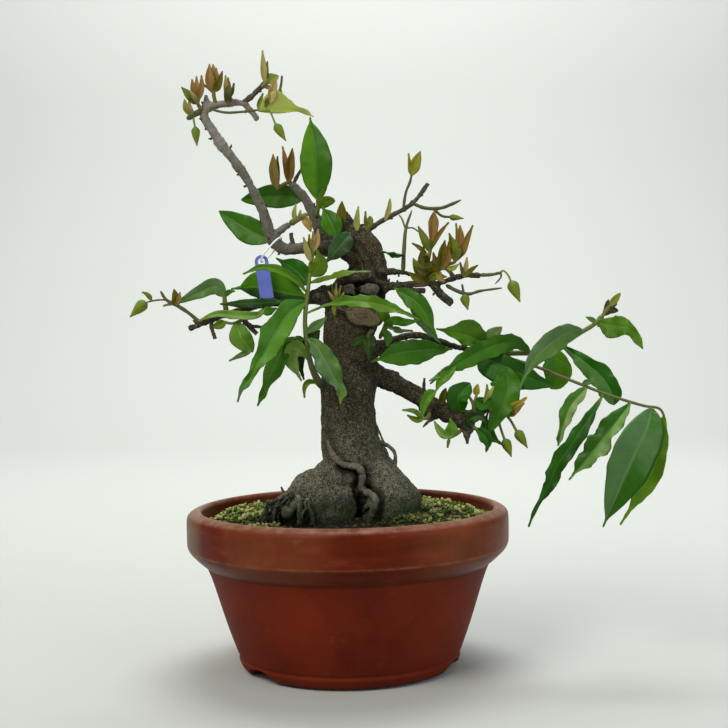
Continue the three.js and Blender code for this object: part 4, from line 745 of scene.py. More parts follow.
             fold=30, wave=0.3, widest=0.6),
        leaf(2.6, "rust", [[430.6, 250, -14.2], [439, 234, -17], [449, 222, -18]], fold=20, wave=0.2),
        leaf(3.6, "darkBud", [[429.5, 262, -15], [424, 258, -18], [417, 262, -19]], fold=20, wave=0.4),
        leaf(3.6, "bronzeOlive", [[429, 266, -15.2], [436, 262, -18], [441, 254, -19]], fold=24, wave=0.4),
        leaf(3.8, "darkBud", [[429, 270, -15.4], [422, 272, -20], [413, 266, -21]], fold=20, wave=0.4),
        leaf(4, "oliveBud", [[429, 280, -15.7], [436, 276, -20], [447, 277, -21]], fold=20, wave=0.4),
        leaf(3.4, "tip", [[429, 280, -15.7], [424, 284, -20], [415, 286, -21]], fold=20, wave=0.4),
        leaf(4.6, "oliveBud", [[430.3, 252, -14.3], [425, 240, -17], [418, 226, -18]], fold=20, wave=0.4),
        leaf(2.4, "bronzeOlive", [[429, 257, -14.6], [420, 248, -11], [412, 243, -10]], fold=20, wave=0.4),
        leaf(4.6, "bronzeOlive", [[428.4, 274, -15.4], [422, 262, -13], [424, 245, -13]], fold=26, wave=0.3),
        leaf(6, "oliveBud", [[428.6, 276, -15.5], [419, 270, -19], [413, 258, -20]], fold=20, wave=0.4),
        leaf(5.4, "bronzeOlive", [[428.6, 276, -15.5], [434, 268, -20], [434, 256, -21]], fold=26, wave=0.4),
        leaf(5, "bronzeOlive", [[429, 278, -15.6], [419, 279, -20], [408, 272, -22]], fold=20, wave=0.4),
    ]),
    ("shoot_right_middle", "bronze", [
        stem("bronze", [[456, 280, -18, 1.1], [450, 272, -18, 1], [445, 266, -19, 0.9],
              [456, 262, -20, 0.8]]),
        stem("bronze", [[447, 268, -18.7, 0.9], [441, 269, -19, 0.8], [437, 272, -19, 0.7]]),
        leaf(5.4, "bronzeOlive", [[441, 269, -19], [442, 256, -19], [445, 240, -19]], fold=28, wave=0.3),
        leaf(4.6, "rust", [[442, 269, -19], [448, 256, -21], [449, 241, -21]], fold=28, wave=0.3),
        leaf(3.4, "darkBud", [[442, 269, -19], [436, 262, -22], [433, 252, -22]], fold=20, wave=0.3),
        leaf(3, "yellowBud", [[447, 268, -18.7], [453, 268, -22], [459, 264, -23]], fold=20, wave=0.3),
        leaf(3.2, "bronze", [[439, 270.5, -19], [440, 278, -22], [445, 282, -23]], wave=0.3),
        leaf(4.6, "bronzeOlive", [[455, 262, -20], [454, 248, -22], [449, 233, -22]], fold=20, wave=0.3),
        leaf(3, "oliveBud", [[455, 262, -20], [458, 245, -18], [456, 223, -17]], fold=20, wave=0.3),
        leaf(4, "copper", [[455, 262, -20], [460, 243, -20], [460, 225, -20]],
             fold=28, wave=0.3, widest=0.6),
        leaf(4.6, "oliveBud", [[455, 262, -20], [457, 250, -23], [451, 236, -23]], fold=20, wave=0.3),
        leaf(4.2, "rust", [[455, 262, -20], [463, 248, -23], [473, 225, -24]], fold=16, wave=0.5),
    ]),
    ("buds_right_end", "young", [
        stem("bark", [[480, 275, -22, 1], [492, 274.5, -23, 0.8], [501, 272.5, -24, 0.6]]),
        stem("bark", [[500.5, 272.5, -24, 0.55], [501, 277, -24, 0.45], [495, 284, -24, 0.3]]),
        stem("lime", [[500.5, 272.5, -24, 0.5], [503, 270.5, -24.5, 0.45], [508, 275, -25, 0.45],
              [512, 284, -25, 0.5]]),
        bud(2.5, [511, 281, -25], [520, 302, -25]),
    ]),
    ("buds_right_small", "young", [
        leaf(2.8, "tanBud", [[464, 277, -21], [466, 267, -22], [467, 257, -22]], fold=24, wave=0.2),
        leaf(2.6, "bronzeOlive", [[464, 277, -21], [471, 270, -23], [478, 265, -24]], fold=20, wave=0.3),
        leaf(2, "darkBud", [[464, 277, -21], [462, 270, -23], [460, 262, -23]], fold=20, wave=0.2),
    ]),
    ("flower_bud_right", "flowerBud", [
        stem("bark", [[446, 285, -18, 1], [455, 290, -19, 0.9], [468, 294, -20, 0.8], [480, 291, -21, 0.75],
              [502, 288, -22, 0.5]]),
        stem("bark", [[462, 284, -19.5, 0.55], [463.5, 292.5, -19.6, 0.6], [464, 299, -21, 0.55]]),
        bud(2, [463.8, 295, -20.6], [468, 310, -21.5]),
    ]),
    ("leaf_right_hanging", "blueGreen", [
        leaf(9.5, "blueGreen", [[395, 288, -11], [420, 306, -17], [437, 337, -15]], widest=0.5, wave=0.8),
        leaf(6.4, "sheen", [[409, 297.5, -14.8], [424, 323, -9], [440, 343, -4]], wave=0.6),
    ]),
    ("leaf_right_low", "mature", [
        leaf(13.5, "mature", [[452, 349, 4], [425, 350, -5], [396, 354, -13], [370, 362, -17]],
             widest=0.58, wave=0.8, left=1, right=0.9),
    ]),
    ("leaves_trunk_right", "mature", [
        stem("mature", [[380, 338, -6, 1.2], [384, 328, -13, 0.9], [388, 316, -15, 0.7]]),
        leaf(4.6, "mature", [[383, 331, -11.6], [392, 321, -18], [405, 322, -19], [419, 321, -18]],
             wave=0.8),
        leaf(5, "olive", [[386, 322, -14.2], [384, 314, -18], [380, 305, -20]], wave=0.4),
        leaf(3.4, "sheen", [[385.4, 324, -13.9], [396, 330, -16], [413, 331, -16]], wave=0.5, roll=30),
        leaf(4.4, "mature", [[383.4, 330, -12], [388, 338, -15], [387, 347, -15]], wave=0.3),
    ]),
    ("leaves_trunk_front", "dark", [
        stem("dark", [[372, 330, -9, 1.1], [369, 334, -15, 0.8], [368, 340, -16, 0.7]]),
        leaf(7.6, "dark", [[369, 334, -14.8], [369, 345, -18], [369, 361, -18]], wave=0.5, fold=20),
        leaf(4.6, "dark", [[368.3, 338, -15.6], [360, 341, -19], [351, 346, -19]], blunt=0.6, wave=0.3),
    ]),
    ("leaves_right_middle", "bright", [
        stem("bright", [[478, 351, 5, 1.1], [484, 347, 2, 0.8], [488, 343, 0, 0.6]]),
        leaf(13, "bright", [[487, 344, 0.4], [466, 336, -4], [436, 329, -5]],
             left=0.7, right=1.25, widest=0.5, wave=1.2, ripples=3.4, ragged=2.2),
        leaf(6.4, "paleUnder", [[487, 344, 0.4], [492, 335, 2], [502, 327, 3]], blunt=0.6, wave=0.4),
    ]),
    ("leaves_right_dark", "mature", [
        leaf(14, "deep", [[478, 353, 4.5], [490, 360, -1], [510, 369, -4], [530, 378, -4], [553, 386, -3]],
             left=0.85, right=1.2, widest=0.42, blunt=0.7, wave=0.6, fold=6),
        leaf(16, "mature", [[506, 367, -3.6], [508, 388, -6], [501, 410, -9], [489, 432, -9]],
             left=0.8, widest=0.36, blunt=0.75, wave=1.1, ripples=3.4, fold=8),
    ]),
    ("leaf_low_dark", "dark", [
        leaf(12, "deep", [[461, 412, -8], [458, 398, -12], [470, 383, -10]],
             blunt=0.65, widest=0.5, wave=0.6),
    ]),
    ("bud_low_left", "bronze", [
        leaf(4, "bronzeOlive", [[442, 404, -6], [443, 396, -8], [446, 388, -8]],
             blunt=0.6, fold=26, wave=0.2),
    ]),
    ("leaves_low_left", "bright", [
        stem("bright", [[430, 413, -5, 1.2], [427, 418, -8, 0.9], [421, 418.5, -9, 0.7]]),
        leaf(2.6, "grassy", [[423, 418.5, -8.7], [414, 411, -10], [402, 410, -10]], wave=0.3),
        leaf(3.4, "olive", [[424, 418.5, -8.5], [416, 419.5, -11], [407, 415, -12]], wave=0.3),
    ]),
    ("leaves_low_middle", "bright", [
        stem("bright", [[461, 430, -9, 1], [457, 434, -12, 0.8], [449, 438, -13, 0.8]]),
        leaf(4.2, "softLime", [[450, 437.5, -12.9], [441, 432, -15], [434, 421, -15]], wave=0.4),
        leaf(7, "grassy", [[451, 437, -12.8], [452, 428, -13.5], [450, 418, -13]], wave=0.4),
        leaf(1.8, "olive", [[449.5, 438, -13], [448.5, 442, -13], [447.5, 448, -13]], wave=0.1),
    ]),
    ("buds_low_right", "young", [
        stem("young", [[474, 413, -8, 1.2], [473, 404, -10, 0.8], [469, 396, -11, 0.6]]),
        stem("young", [[473.4, 407, -9.4, 0.8], [475, 400, -11, 0.7], [477, 394, -11, 0.6]]),
        leaf(3.6, "orangeBud", [[476.5, 395, -11], [476.5, 390, -12], [478, 384, -12]],
             blunt=0.6, fold=26, wave=0.2),
        leaf(6.8, "deep", [[475, 400, -11], [484, 404, -15], [490, 394, -16]], blunt=0.6, wave=0.4),
        leaf(2.4, "oliveBud", [[484, 403, -15], [487, 394, -17], [487, 384, -17]], wave=0.2),
        leaf(2.4, "yellowBud", [[486, 400, -15.5], [490, 393, -18], [494, 386, -18]], wave=0.2),
    ]),
    ("flower_buds_low_right", "flowerBud", [
        stem("flowerBud", [[487, 409, -10, 1.5], [497, 412, -4, 1.2], [507, 416, -2, 0.9]]),
        leaf(6.5, "orangeBud", [[506, 415.6, -2.2], [514, 408, -8], [527, 397, -10]], fold=14, wave=0.3),
        leaf(3.4, "bronze", [[506, 415.6, -2.2], [515, 411, -9], [524.5, 403, -12]], fold=20, wave=0.3),
        stem("flowerBud", [[507, 416, -2, 0.8], [511, 421, -4, 0.6], [517, 432, -6, 0.7]]),
        bud(2.2, [516.6, 430.5, -6], [527.5, 448, -6]),
        stem("flowerBud", [[497, 412, -4, 0.8], [500, 426, -4, 0.6], [505, 441, -6, 0.7]]),
        bud(2.2, [504.5, 439, -6], [511.5, 457, -6]),
        leaf(7, "deep", [[489, 410, -8.6], [485, 424, -5], [489, 434, -6], [504, 446, -7]],
             wave=0.4, widest=0.66),
    ]),
    ("leaves_low_hanging", "mature", [
        stem("mature", [[468, 424, -9, 1.4], [473, 427, -13, 1], [478, 430, -14, 0.8]]),
        leaf(6.6, "deep", [[475, 428, -13.4], [483, 434, -15], [488, 442, -15], [486, 452, -13]],
             wave=0.4, widest=0.5),
        leaf(5.4, "dusk", [[474, 427.4, -13.2], [470, 420, -16], [480, 416, -17], [487, 424, -16]],
             wave=0.3),
    ]),
    ("leaf_left_high", "mature", [
        stem("mature", [[227, 315, -15, 1.4], [225, 303, -14, 1.2], [224, 292, -14, 0.9]]),
        leaf(7.4, "sheen", [[224.5, 296, -14], [216, 286.5, -15], [200, 292, -14], [183, 300, -13],
              [163, 306, -13]], widest=0.32, wave=0.7),
        leaf(2.8, "mature", [[224.5, 297, -14], [229, 292, -16], [235, 291, -17]], wave=0.4),
    ]),
    ("shoot_far_left", "young", [
        stem("bark", [[200, 323, -17, 1.1], [190, 314, -18, 1], [178, 306, -19, 0.9],
              [166, 299.5, -19, 0.8], [160.5, 291, -19, 0.6]]),
        stem("bark", [[168, 300, -19, 0.55], [158, 300, -20, 0.45], [145.5, 302.5, -20, 0.45]]),
        leaf(4.8, "bronzeOlive", [[176, 305, -19], [176, 299, -21], [174, 289, -22]],
             blunt=0.7, fold=24, wave=0.3),
        leaf(2.6, "copper", [[176, 305, -19], [179, 299, -22], [180, 292, -22]], fold=24, wave=0.2),
        leaf(2.4, "oliveBud", [[152, 301, -20], [148, 295, -22], [142, 292, -22]], wave=0.3),
        bud(2.5, [146, 301.5, -20.4], [130, 317, -21]),
    ]),
    ("leaf_left_pale", "young", [
        leaf(4.4, "softLime", [[266, 305, -15], [258, 314.5, -19], [235, 315, -20], [216, 314, -20],
              [198, 321, -19]], widest=0.5, wave=0.6, ripples=3),
        leaf(4.4, "mature", [[264, 308, -16.6], [268, 311, -18], [277, 308, -19]], wave=0.3),
    ]),
    ("leaf_left_narrow", "blueGreen", [
        leaf(5.2, "dusk", [[281, 301.5, -15], [255, 303.5, -18], [220, 304, -18]], wave=0.5, ragged=1.4),
    ]),
    ("leaves_left_low", "mature", [
        stem("mature", [[243, 320, -16, 0.9], [232, 323.5, -18, 0.7], [223, 321.5, -19, 0.7]]),
        leaf(4.4, "olive", [[225, 321.8, -18.8], [219, 325, -20], [213, 327, -20]], blunt=0.55, wave=0.3),
        leaf(10, "grassy", [[237, 322, -17], [241, 337, -21], [253, 352, -20]],
             blunt=0.65, widest=0.5, wave=0.4),
        leaf(2.8, "sheen", [[252, 350.5, -20.2], [243, 354, -21], [229, 361, -19]], wave=0.4),
    ]),
    ("bud_trunk_left", "bronze", [
        leaf(2.2, "oliveBud", [[336, 303, -9.6], [334, 294, -14.5], [331, 284, -15]], fold=24, wave=0.2),
        leaf(2.4, "tanBud", [[336, 303, -9.6], [338, 295, -14.5], [341, 285, -15]], fold=24, wave=0.2),
        leaf(2, "ochreBud", [[336, 303, -9.6], [336, 294, -16], [336, 283, -17]], fold=24, wave=0.2),
        leaf(2, "tanBud", [[336, 303, -9.6], [332, 297, -15.5], [328, 291, -16]], fold=24, wave=0.2),
        leaf(2, "ochreBud", [[336, 303, -9.6], [340, 299, -15], [344, 292, -16]], fold=24, wave=0.2),
        leaf(2.6, "oliveBud", [[336, 304, -10.5], [334, 309, -15], [335, 316, -15]], fold=20, wave=0.2),
        leaf(2, "tip", [[336, 304, -10.5], [340, 308, -15], [346, 311, -15]], fold=20, wave=0.2),
    ]),
]

for shootIndex, (nodeName, slotName, parts) in enumerate(shoots):
    build = newBuild()
    for partIndex, (kind, places, form) in enumerate(parts):
        if kind == "leaf":
            addLeaf(build, places, form, shootIndex * 100 + partIndex)
        elif kind == "stem":
            green = linear(stemTones[form["tone"]])
            thick = smoothStep(0.9, 1.8, places[0][3])
            foot = mixed(green, linear(stemTones["bark"]), thick)
            addStem(build, places, foot, green, 0.3 if form["tone"] == "bark" else 0.12)
        else:
            addBud(build, *places, form["radius"])
    mesh = meshFrom(nodeName + "_leaves", build)
    tidyMesh(mesh)
    addPiece(nodeName + "_leaves", mesh, leafMaterials[slotName], [nodeName])
print("leaves and buds:", len(shoots), "pieces")


# Wood: trunk, root lobes, branches and twigs as one grown surface

woodLook = {
    "voxel": 0.7,  # mm, the grain of the grown surface
    "smoothing": 5,
    "bumps": 0.55,  # mm, the broad unevenness of the bark
    "grit": 0.28,  # mm, the fine unevenness
    "rootSeed": 11,
    "fineRoots": 56,
    "spurSpacing": 7.0,  # mm between the short spurs on a twig
}

# Limbs: places of [across, down, depth, radius]
trunkLine = [[352, 536, 6, 17], [353, 500, 6, 17], [356, 480, 4, 17], [356.5, 466, 1, 16.2],
             [351.5, 453, -1, 14.7], [349.5, 438, -1, 14.2], [348, 405, 0, 12.9], [349, 385, 1, 13.8],
             [348.5, 360, 2, 11.6], [349.5, 330, 1, 12.4], [354, 310, 0, 14], [361, 290, 1, 12.9],
             [367.8, 275, 3, 10], [367.3, 262, 3, 9.2], [362.5, 250, 4, 9.2], [354, 240, 4, 8.2],
             [347, 230, 4, 6], [345.5, 220, 4, 3.8], [344.5, 211, 4, 1.6]]
rootLobes = [
    [[328, 468, -6, 3], [327, 473.5, -7, 8], [326, 479, -8, 13.2], [325, 486, -8, 16.2],
     [325, 496, -9, 17.4], [325, 512, -9, 17], [326, 536, -9, 14]],
    [[341, 438, -3, 6], [339, 460, -6, 6.5], [327, 488, -10, 12]],
    [[366, 448, -3, 4.5], [376, 466, -5, 5.8], [386, 482, -7, 9.6], [391, 500, -9, 14.8],
     [392, 522, -10, 14.6], [392, 540, -10, 11]],
    [[348, 452, 8, 8], [341, 478, 18, 11], [331, 502, 25, 12], [324, 530, 31, 8]],
    [[366, 450, 8, 6.5], [379, 478, 18, 11], [390, 502, 25, 12], [394, 532, 30, 8]],
]
sunkRoots = [
    [[303, 484, -14, 3], [291, 496, -17, 3.4], [286, 512, -19, 5], [286, 528, -20, 4.4]],
]
# Roots that lie on the bark: [across, down, radius, how far the root stands proud]
surfaceRoots = [
    [[328, 440, 1.2, -0.3], [331, 450, 1.4, 0.1], [335, 458, 1.5, 0.7], [341, 463, 1.6, 1.7],
     [349, 465.6, 1.7, 2.4], [357.4, 467, 1.8, 2.7], [361.6, 471.8, 1.7, 2.8], [362.3, 479.2, 1.6, 2.7],
     [361, 486.6, 1.6, 2.6], [364.8, 491.5, 1.7, 2.8], [372.2, 495.2, 1.8, 3.1], [375.4, 500.2, 1.8, 3.2],
     [374.6, 506.3, 1.7, 3.2], [372.2, 512.5, 1.6, 3.1], [369.7, 521, 1.6, 3], [369, 528, 1.6, 3]],
    [[374, 504, 1.2, 2.2], [367, 506.5, 1.3, 2.3], [364.8, 512, 1.2, 2.2], [364.8, 518.7, 1.1, 2.1],
     [362, 528, 1, 2]],
]
# Creases pressed into the bark: places, then depth, half width and painted shade
creases = [
    ([[329, 432], [331, 443], [334, 452], [339, 457]], 1.2, 1.8, 0.45),
    ([[340, 466], [349, 470.5], [355.5, 473], [358, 480], [356.5, 487], [357, 495], [362, 503], [362, 514],
      [359, 530]], 2.3, 2.6, 0.95),
    ([[365, 470], [366.5, 478], [365.5, 485], [371, 490.5], [378.5, 495], [381, 502], [379.5, 513],
      [376, 530]], 1.9, 2.1, 0.85),
    ([[327, 420], [326, 435], [327, 448], [330, 462]], 1.1, 1.8, 0.35),
    ([[337, 285], [341, 282.5], [347, 281.5], [353, 282], [358, 283.5], [364, 281.5], [371, 281.5],
      [377, 284], [380, 289], [381.5, 295], [384, 300]], 2.7, 1.6, 1.0),
    ([[338, 286], [341, 292], [346, 296.5], [353, 298]], 2.4, 1.5, 1.0),
    ([[357, 283], [357, 290], [359, 297]], 2.4, 1.1, 1.0),
    ([[360, 298], [368, 299], [376, 299.5], [384, 300]], 2, 1.4, 0.9),
    ([[344, 314], [347, 321], [354, 326.5], [364, 328], [374, 327.5], [382, 325]], 1.0, 0.8, 0.6),
    ([[347, 236], [352, 246], [359, 255], [364, 265], [367, 277]], 0.8, 0.9, 0.65),
    ([[354, 238], [363, 248], [370, 258], [375, 268], [379, 279]], 0.8, 0.9, 0.6),
    ([[339, 250], [342, 262], [347, 275]], 0.4, 4.6, 0.7),
    ([[356, 262], [360, 270], [363, 279]], 0.5, 1.2, 0.5),
    ([[349, 247], [353, 250], [357, 251]], 1.2, 1.1, 0.8),
    ([[358, 364], [366, 370], [374, 382]], 0.9, 1.8, 0.35),
    ([[334, 365], [337, 385], [335, 402]], 0.8, 1.8, 0.3),
]
branches = [
    [[353, 252, 0, 6], [337, 248.5, -3, 4.4], [318, 248.5, -5, 3.5], [303, 248, -6, 3], [285, 249, -8, 3],
     [272, 240, -10, 2.8], [266, 222, -12, 2.6], [260, 205, -14, 2.5], [250, 185, -16, 2.4],
     [235, 162, -18, 2.4], [222, 145, -20, 2.4], [212, 130, -21, 2.3], [204, 115, -22, 2.2],
     [206, 103, -22, 1.9], [206, 94, -22, 1.1]],
    [[203, 110, -22, 2.2], [214, 105, -22, 1.9], [230, 103.5, -23, 1.8], [247, 103, -24, 1.8]],
    [[243, 102, -24, 1.6], [250, 110, -23, 1.6], [258, 120, -22, 1.5]],
    [[272, 238, -10, 2], [280, 231, -9, 1.7], [290, 224, -7, 1.6]],
    [[332, 252, 3, 5], [322, 235, 6, 3.8], [313, 213, 10, 2.8], [303, 196, 13, 2.4], [291, 184, 15, 2]],
    [[362, 276, 0, 5], [388, 272, -6, 2], [400, 272, -9, 1.6], [412, 274, -11, 1.3]],
    [[366, 292, -3, 6], [388, 286, -8, 2.6], [400, 285, -11, 1.7], [420, 284, -14, 1.5],
     [440, 283, -17, 1.5], [462, 276, -20, 1.3], [480, 275, -22, 1.1]],
    [[430, 282, -16, 2], [440, 293, -16, 2.3], [452, 305, -16, 2]],
    [[362, 352, 4, 7], [385, 345, 4, 2.6], [397, 339, 4, 1.8], [415, 335, 5, 1.6], [440, 342, 6, 1.7],
     [470, 350, 7, 1.6], [500, 353, 8, 1.5]],
    [[360, 364, 6, 8], [375, 374, 5, 5.6], [400, 385, 3, 4.5], [430, 404, -1, 4.6], [455, 418, -5, 4],
     [466, 426, -7, 3.6], [473, 432, -8, 2.2]],
    [[424, 402, 0, 4.2], [432, 412, -1, 4.4], [437, 417, -2, 2.6]],
    [[452, 417, -4, 3.4], [470, 414, -7, 2.5], [490, 409, -10, 1.7]],
    [[344, 300, -2, 9], [330, 297, -6, 6], [316, 296, -9, 4], [300, 302, -11, 2], [280, 303, -12, 1.8],
     [262, 304, -13, 1.8], [245, 309, -14, 1.8], [228, 314, -15, 1.7], [210, 320, -16, 1.7],
     [189, 329, -17, 1.6]],
]
twigs = [
    [[372, 437, -2, 1], [381, 442.5, -3, 1], [388, 446, -4, 0.95], [393.5, 450.5, -5, 1],
     [395.5, 457, -6, 1], [394.5, 464, -6, 1.05], [392, 474, -6, 1.2]],
    [[374, 420, -4, 0.6], [377.5, 428, -4.5, 0.55], [381, 436, -4.5, 0.5], [385, 444.5, -4.2, 0.6]],
    [[384, 446, -4, 0.5], [383.5, 449, -4, 0.45], [383, 453, -4, 0.4]],
    [[243, 104, -24, 1.4], [252, 96, -25, 1.2], [259, 89, -25, 1.2], [265, 83, -26, 1.1]],
    [[294, 248, -6, 1.3], [292, 240, -7, 1], [291, 233, -8, 0.8]],
    [[292, 186, 15, 0.9], [298, 175, 15, 0.8], [304, 165, 16, 0.7]],
    [[356, 243, 2, 3], [367, 231, 4, 1.6], [380, 222, 7, 1.3], [400, 211, 12, 1.2], [413, 203, 15, 1.1],
     [428, 184, 19, 0.9]],
    [[350, 229, 1, 1.4], [357, 226.5, -1, 0.8], [364, 225, -2, 0.6]],
    [[398, 286, -10, 1.3], [412, 290, -13, 1.3], [425, 291, -15, 1.3]],
    [[466, 428, -7, 2.5], [467, 436, -8, 1.5], [467.5, 444, -8, 0.5]],
    [[423.5, 392, 0, 1], [424.5, 378, 0, 0.5]],
    [[438, 416, -2, 1.3], [430, 420, -2, 0.9], [423, 427, -2, 0.5]],
    [[211, 320, -16, 1.1], [212, 328, -16, 1], [215, 339, -16, 0.9]],
    [[246, 309, -14, 1.4], [243, 318, -14, 1.2], [250, 327, -15, 1.2], [257, 334, -15, 1.1]],
    [[249, 326, -15, 0.9], [255, 326.5, -15, 0.8], [262, 327, -16, 0.7]],
]
# Root strands over the soil at the left
strands = [
    [[291, 491, -22, 1], [281, 498, -26, 0.9], [271, 509, -29, 0.8], [261, 524, -31, 0.7]],
    [[285, 494, -20, 0.9], [274, 502, -25, 0.8], [264, 514, -28, 0.8], [256, 526, -28, 0.7]],
    [[297, 495, -24, 1.6], [299.5, 504, -28, 1.6], [300, 513, -30, 1.5], [299, 526, -30, 1.3]],
    [[279, 500, -27, 0.8], [275, 508, -30, 0.8], [274, 516, -31, 0.7], [273, 526, -31, 0.6]],
    [[307, 498, -26, 1.1], [309, 508, -29, 1.3], [312, 516, -30, 1.1], [313, 526, -30, 1]],
    [[300, 500, -24, 2], [293, 505, -27, 3], [288, 511, -29, 3.1], [285, 519, -30, 2.2]],
    [[285, 494, -20, 0.8], [282.5, 490, -19, 0.6], [281, 486.5, -19, 0.4]],
]
knobs = [([349.5, 290, -11.8], (4.3, 3.6, 2.9)), ([368, 289.5, -11.8], (5.6, 4, 3))]
scar = {"centre": [364, 317, -9.4], "reach": (9.4, 4.2), "tilt": 15.0}
hollow = {"centre": [361, 289, -15], "reach": (12, 6.5, 5.5), "depth": 3}


def limbRings(places, sides, stepsPerSpan, relief=None):
    points = [spot(p) for p in places]
    radii = [p[3] for p in places]
    steps = (len(places) - 1) * stepsPerSpan
    rings = []
    for step in range(steps + 1):
        along = step / steps
        centre, forward, side, face = frameOn(points, along)
        radius = between(radii, along)
        sizes = [radius * (relief(along, turn) if relief else 1) for turn in turns(sides)]
        rings.append(ringAt(centre, side, face, sizes))
    return rings


# Twigs and branches swell at their nodes and are nowhere quite round
def knotty(places, amount):
    start, length = Vector(places[0][:3]), lineLength([spot(p) for p in places])

    def relief(along, angle):
        reach = along * length
        node = math.exp(-((reach / 5.5 + 0.3 * math.sin(reach)) % 1 - 0.5) ** 2 / 0.012)
        turned = Vector((math.cos(angle), math.sin(angle), reach * 0.35)) * 0.9 + start * 0.13
        return 1 + amount * (0.9 * node - 0.2 + 1.3 * noise.noise(turned))

    return relief


def trunkRelief(along, angle):
    return 1 + 0.03 * math.sin(3 * angle + 9 * along) + 0.02 * math.sin(5 * angle - 21 * along)


def addRings(build, rings):
    skin(build, rings, [(0.3, 0.3, 0.3)] * len(rings))


def addBlob(build, centre, radii, rows=8, sides=14):
    middle = spot(centre)
    rings = []
    for row in range(rows + 1):
        polar = math.pi * (0.04 + 0.92 * row / rows)
        rings.append([middle + Vector((radii[0] * math.sin(polar) * math.cos(turn),
                                       radii[1] * math.sin(polar) * math.sin(turn),
                                       radii[2] * math.cos(polar))) for turn in turns(sides)])
    addRings(build, rings)


def scarFrame():
    cosine, sine = math.cos(math.radians(scar["tilt"])), math.sin(math.radians(scar["tilt"]))
    return spot(scar["centre"]), Vector((cosine, 0, -sine)), Vector((sine, 0, cosine))


def growWood():
    build = newBuild()
    addRings(build, limbRings(trunkLine, 36, 5, trunkRelief))
    for lobe in rootLobes:
        addRings(build, limbRings(lobe, 28, 6))
    for limb in sunkRoots + branches:
        addRings(build, limbRings(limb, 12, 8, knotty(limb, 0.16)))
    for centre, radii in knobs:
        addBlob(build, centre, radii)
    middle, across, upward = scarFrame()  # the cut's callus and face
    rings = []
    for depth, size in ((6, 0.98), (-2.6, 1.0), (-3.3, 0.94), (-3.4, 0.82), (-3.0, 0.7)):
        rings.append([middle + Vector((0, depth, 0)) + across * (scar["reach"][0] * size * math.cos(turn))
                      + upward * (scar["reach"][1] * size * math.sin(turn)) for turn in turns(32)])
    addRings(build, rings)
    mesh = meshFrom("woodStart", build)
    tidyMesh(mesh)
    rough = newObject("woodStart", mesh)
    remesh = rough.modifiers.new("grown", "REMESH")
    remesh.mode = "VOXEL"
    remesh.voxel_size = woodLook["voxel"] * metres
    smoothing = rough.modifiers.new("smoothed", "SMOOTH")
    smoothing.factor = 0.5
    smoothing.iterations = woodLook["smoothing"]
    return settled(rough)


# Where the line of sight through a place in the front view meets the wood, and that line's direction
def onWood(tree, place):
    eye = eyePlace * metres + potAxis
    aim = ((spot([place[0], place[1], 0]) - eyePlace) * metres).normalized()
    hit = tree.ray_cast(eye, aim)[0]
    return (hit - potAxis) * 1000 if hit else spot([place[0], place[1], -14]), aim


# Steps along places on the bark: the point, the line of sight, then what else each place has
def pathOnWood(tree, places, spacing):
    flat = [Vector((*p[:2], 0)) for p in places]
    reach = sum((b - a).length for a, b in zip(flat, flat[1:])) * frontView["unit"]
    count = max(6, round(reach / spacing))
    path = []
    for step in range(count + 1):
        along = step / count
        point, aim = onWood(tree, curvePoint(flat, along))
        path.append((point, aim, *(between([p[k] for p in places], along) for k in range(2, len(places[0])))))
    return path


def weatherWood(mesh):
    middle = spot(hollow["centre"])
    knobMiddles = [(spot(centre), radii) for centre, radii in knobs]
    scarMiddle, across, upward = scarFrame()
    tree = meshTree(mesh)
    pressed = []
    for places, depth, width, paintedShade in creases:
        pressed += [(step[0], depth, width, paintedShade) for step in pathOnWood(tree, places, 0.5)]
    nearby = KDTree(len(pressed))
    for index, item in enumerate(pressed):
        nearby.insert(item[0], index)
    nearby.balance()
    # The tint tells the bark: red is painted shade in hollow and creases, and fine roots' dark tone; green is
    # old cut, blue is pale
    tint = mesh.color_attributes.new(name="tint", type="FLOAT_COLOR", domain="POINT")
    normals = [v.normal.copy() for v in mesh.vertices]
    for vertex, normal in zip(mesh.vertices, normals):
        point = (vertex.co - potAxis) * 1000
        offset = point - scarMiddle
        fromScar = (offset.dot(across) / scar["reach"][0]) ** 2 + (offset.dot(upward) / scar["reach"][1]) ** 2
        onCut = smoothStep(0.25, 0.0, fromScar - 0.85) if offset.y < 1 else 0.0
        ring = 0.3 + 0.7 * math.sqrt(min(fromScar, 1.0))
        broad = noise.noise(point * 0.16) + 0.6 * noise.noise(point * 0.42)
        fine = noise.noise(Vector((point.x * 1.1, point.y * 1.1, point.z * 0.8)))
        fine += 0.5 * noise.noise(point * 2.3)
        push = (woodLook["bumps"] * broad + woodLook["grit"] * fine) * (1 - 0.8 * onCut)
        reach = sum((c / r) ** 2 for c, r in zip(point - middle, hollow["reach"]))
        inKnob = min(sum((c / r) ** 2 for c, r in zip(point - knob, radii)) for knob, radii in knobMiddles)
        onKnob = smoothStep(1.5, 1.1, inKnob + 0.5 * noise.noise(point * 0.7))
        dark = smoothStep(1.3, 0.7, reach) * (1 - onKnob)
        index, distance = nearby.find(point)[1:]
        depth, width, paintedShade = pressed[index][1:]
        crease = math.exp(-(distance / width) ** 2) if distance < 3 * width else 0.0
        push += 0.9 * onKnob * noise.noise(point * 0.5) - depth * crease
        bleached = (0.5 + 0.4 * smoothStep(238, 252, point.z)) * smoothStep(188, 200, point.z)
        pale = max(0.34 * onKnob, bleached * smoothStep(-6, -20, point.x))
        vertex.co += (normal * push + Vector((0, hollow["depth"] * dark, 0))) * metres
        tint.data[vertex.index].color = (max(dark, paintedShade * crease), onCut * ring, pale, 1)


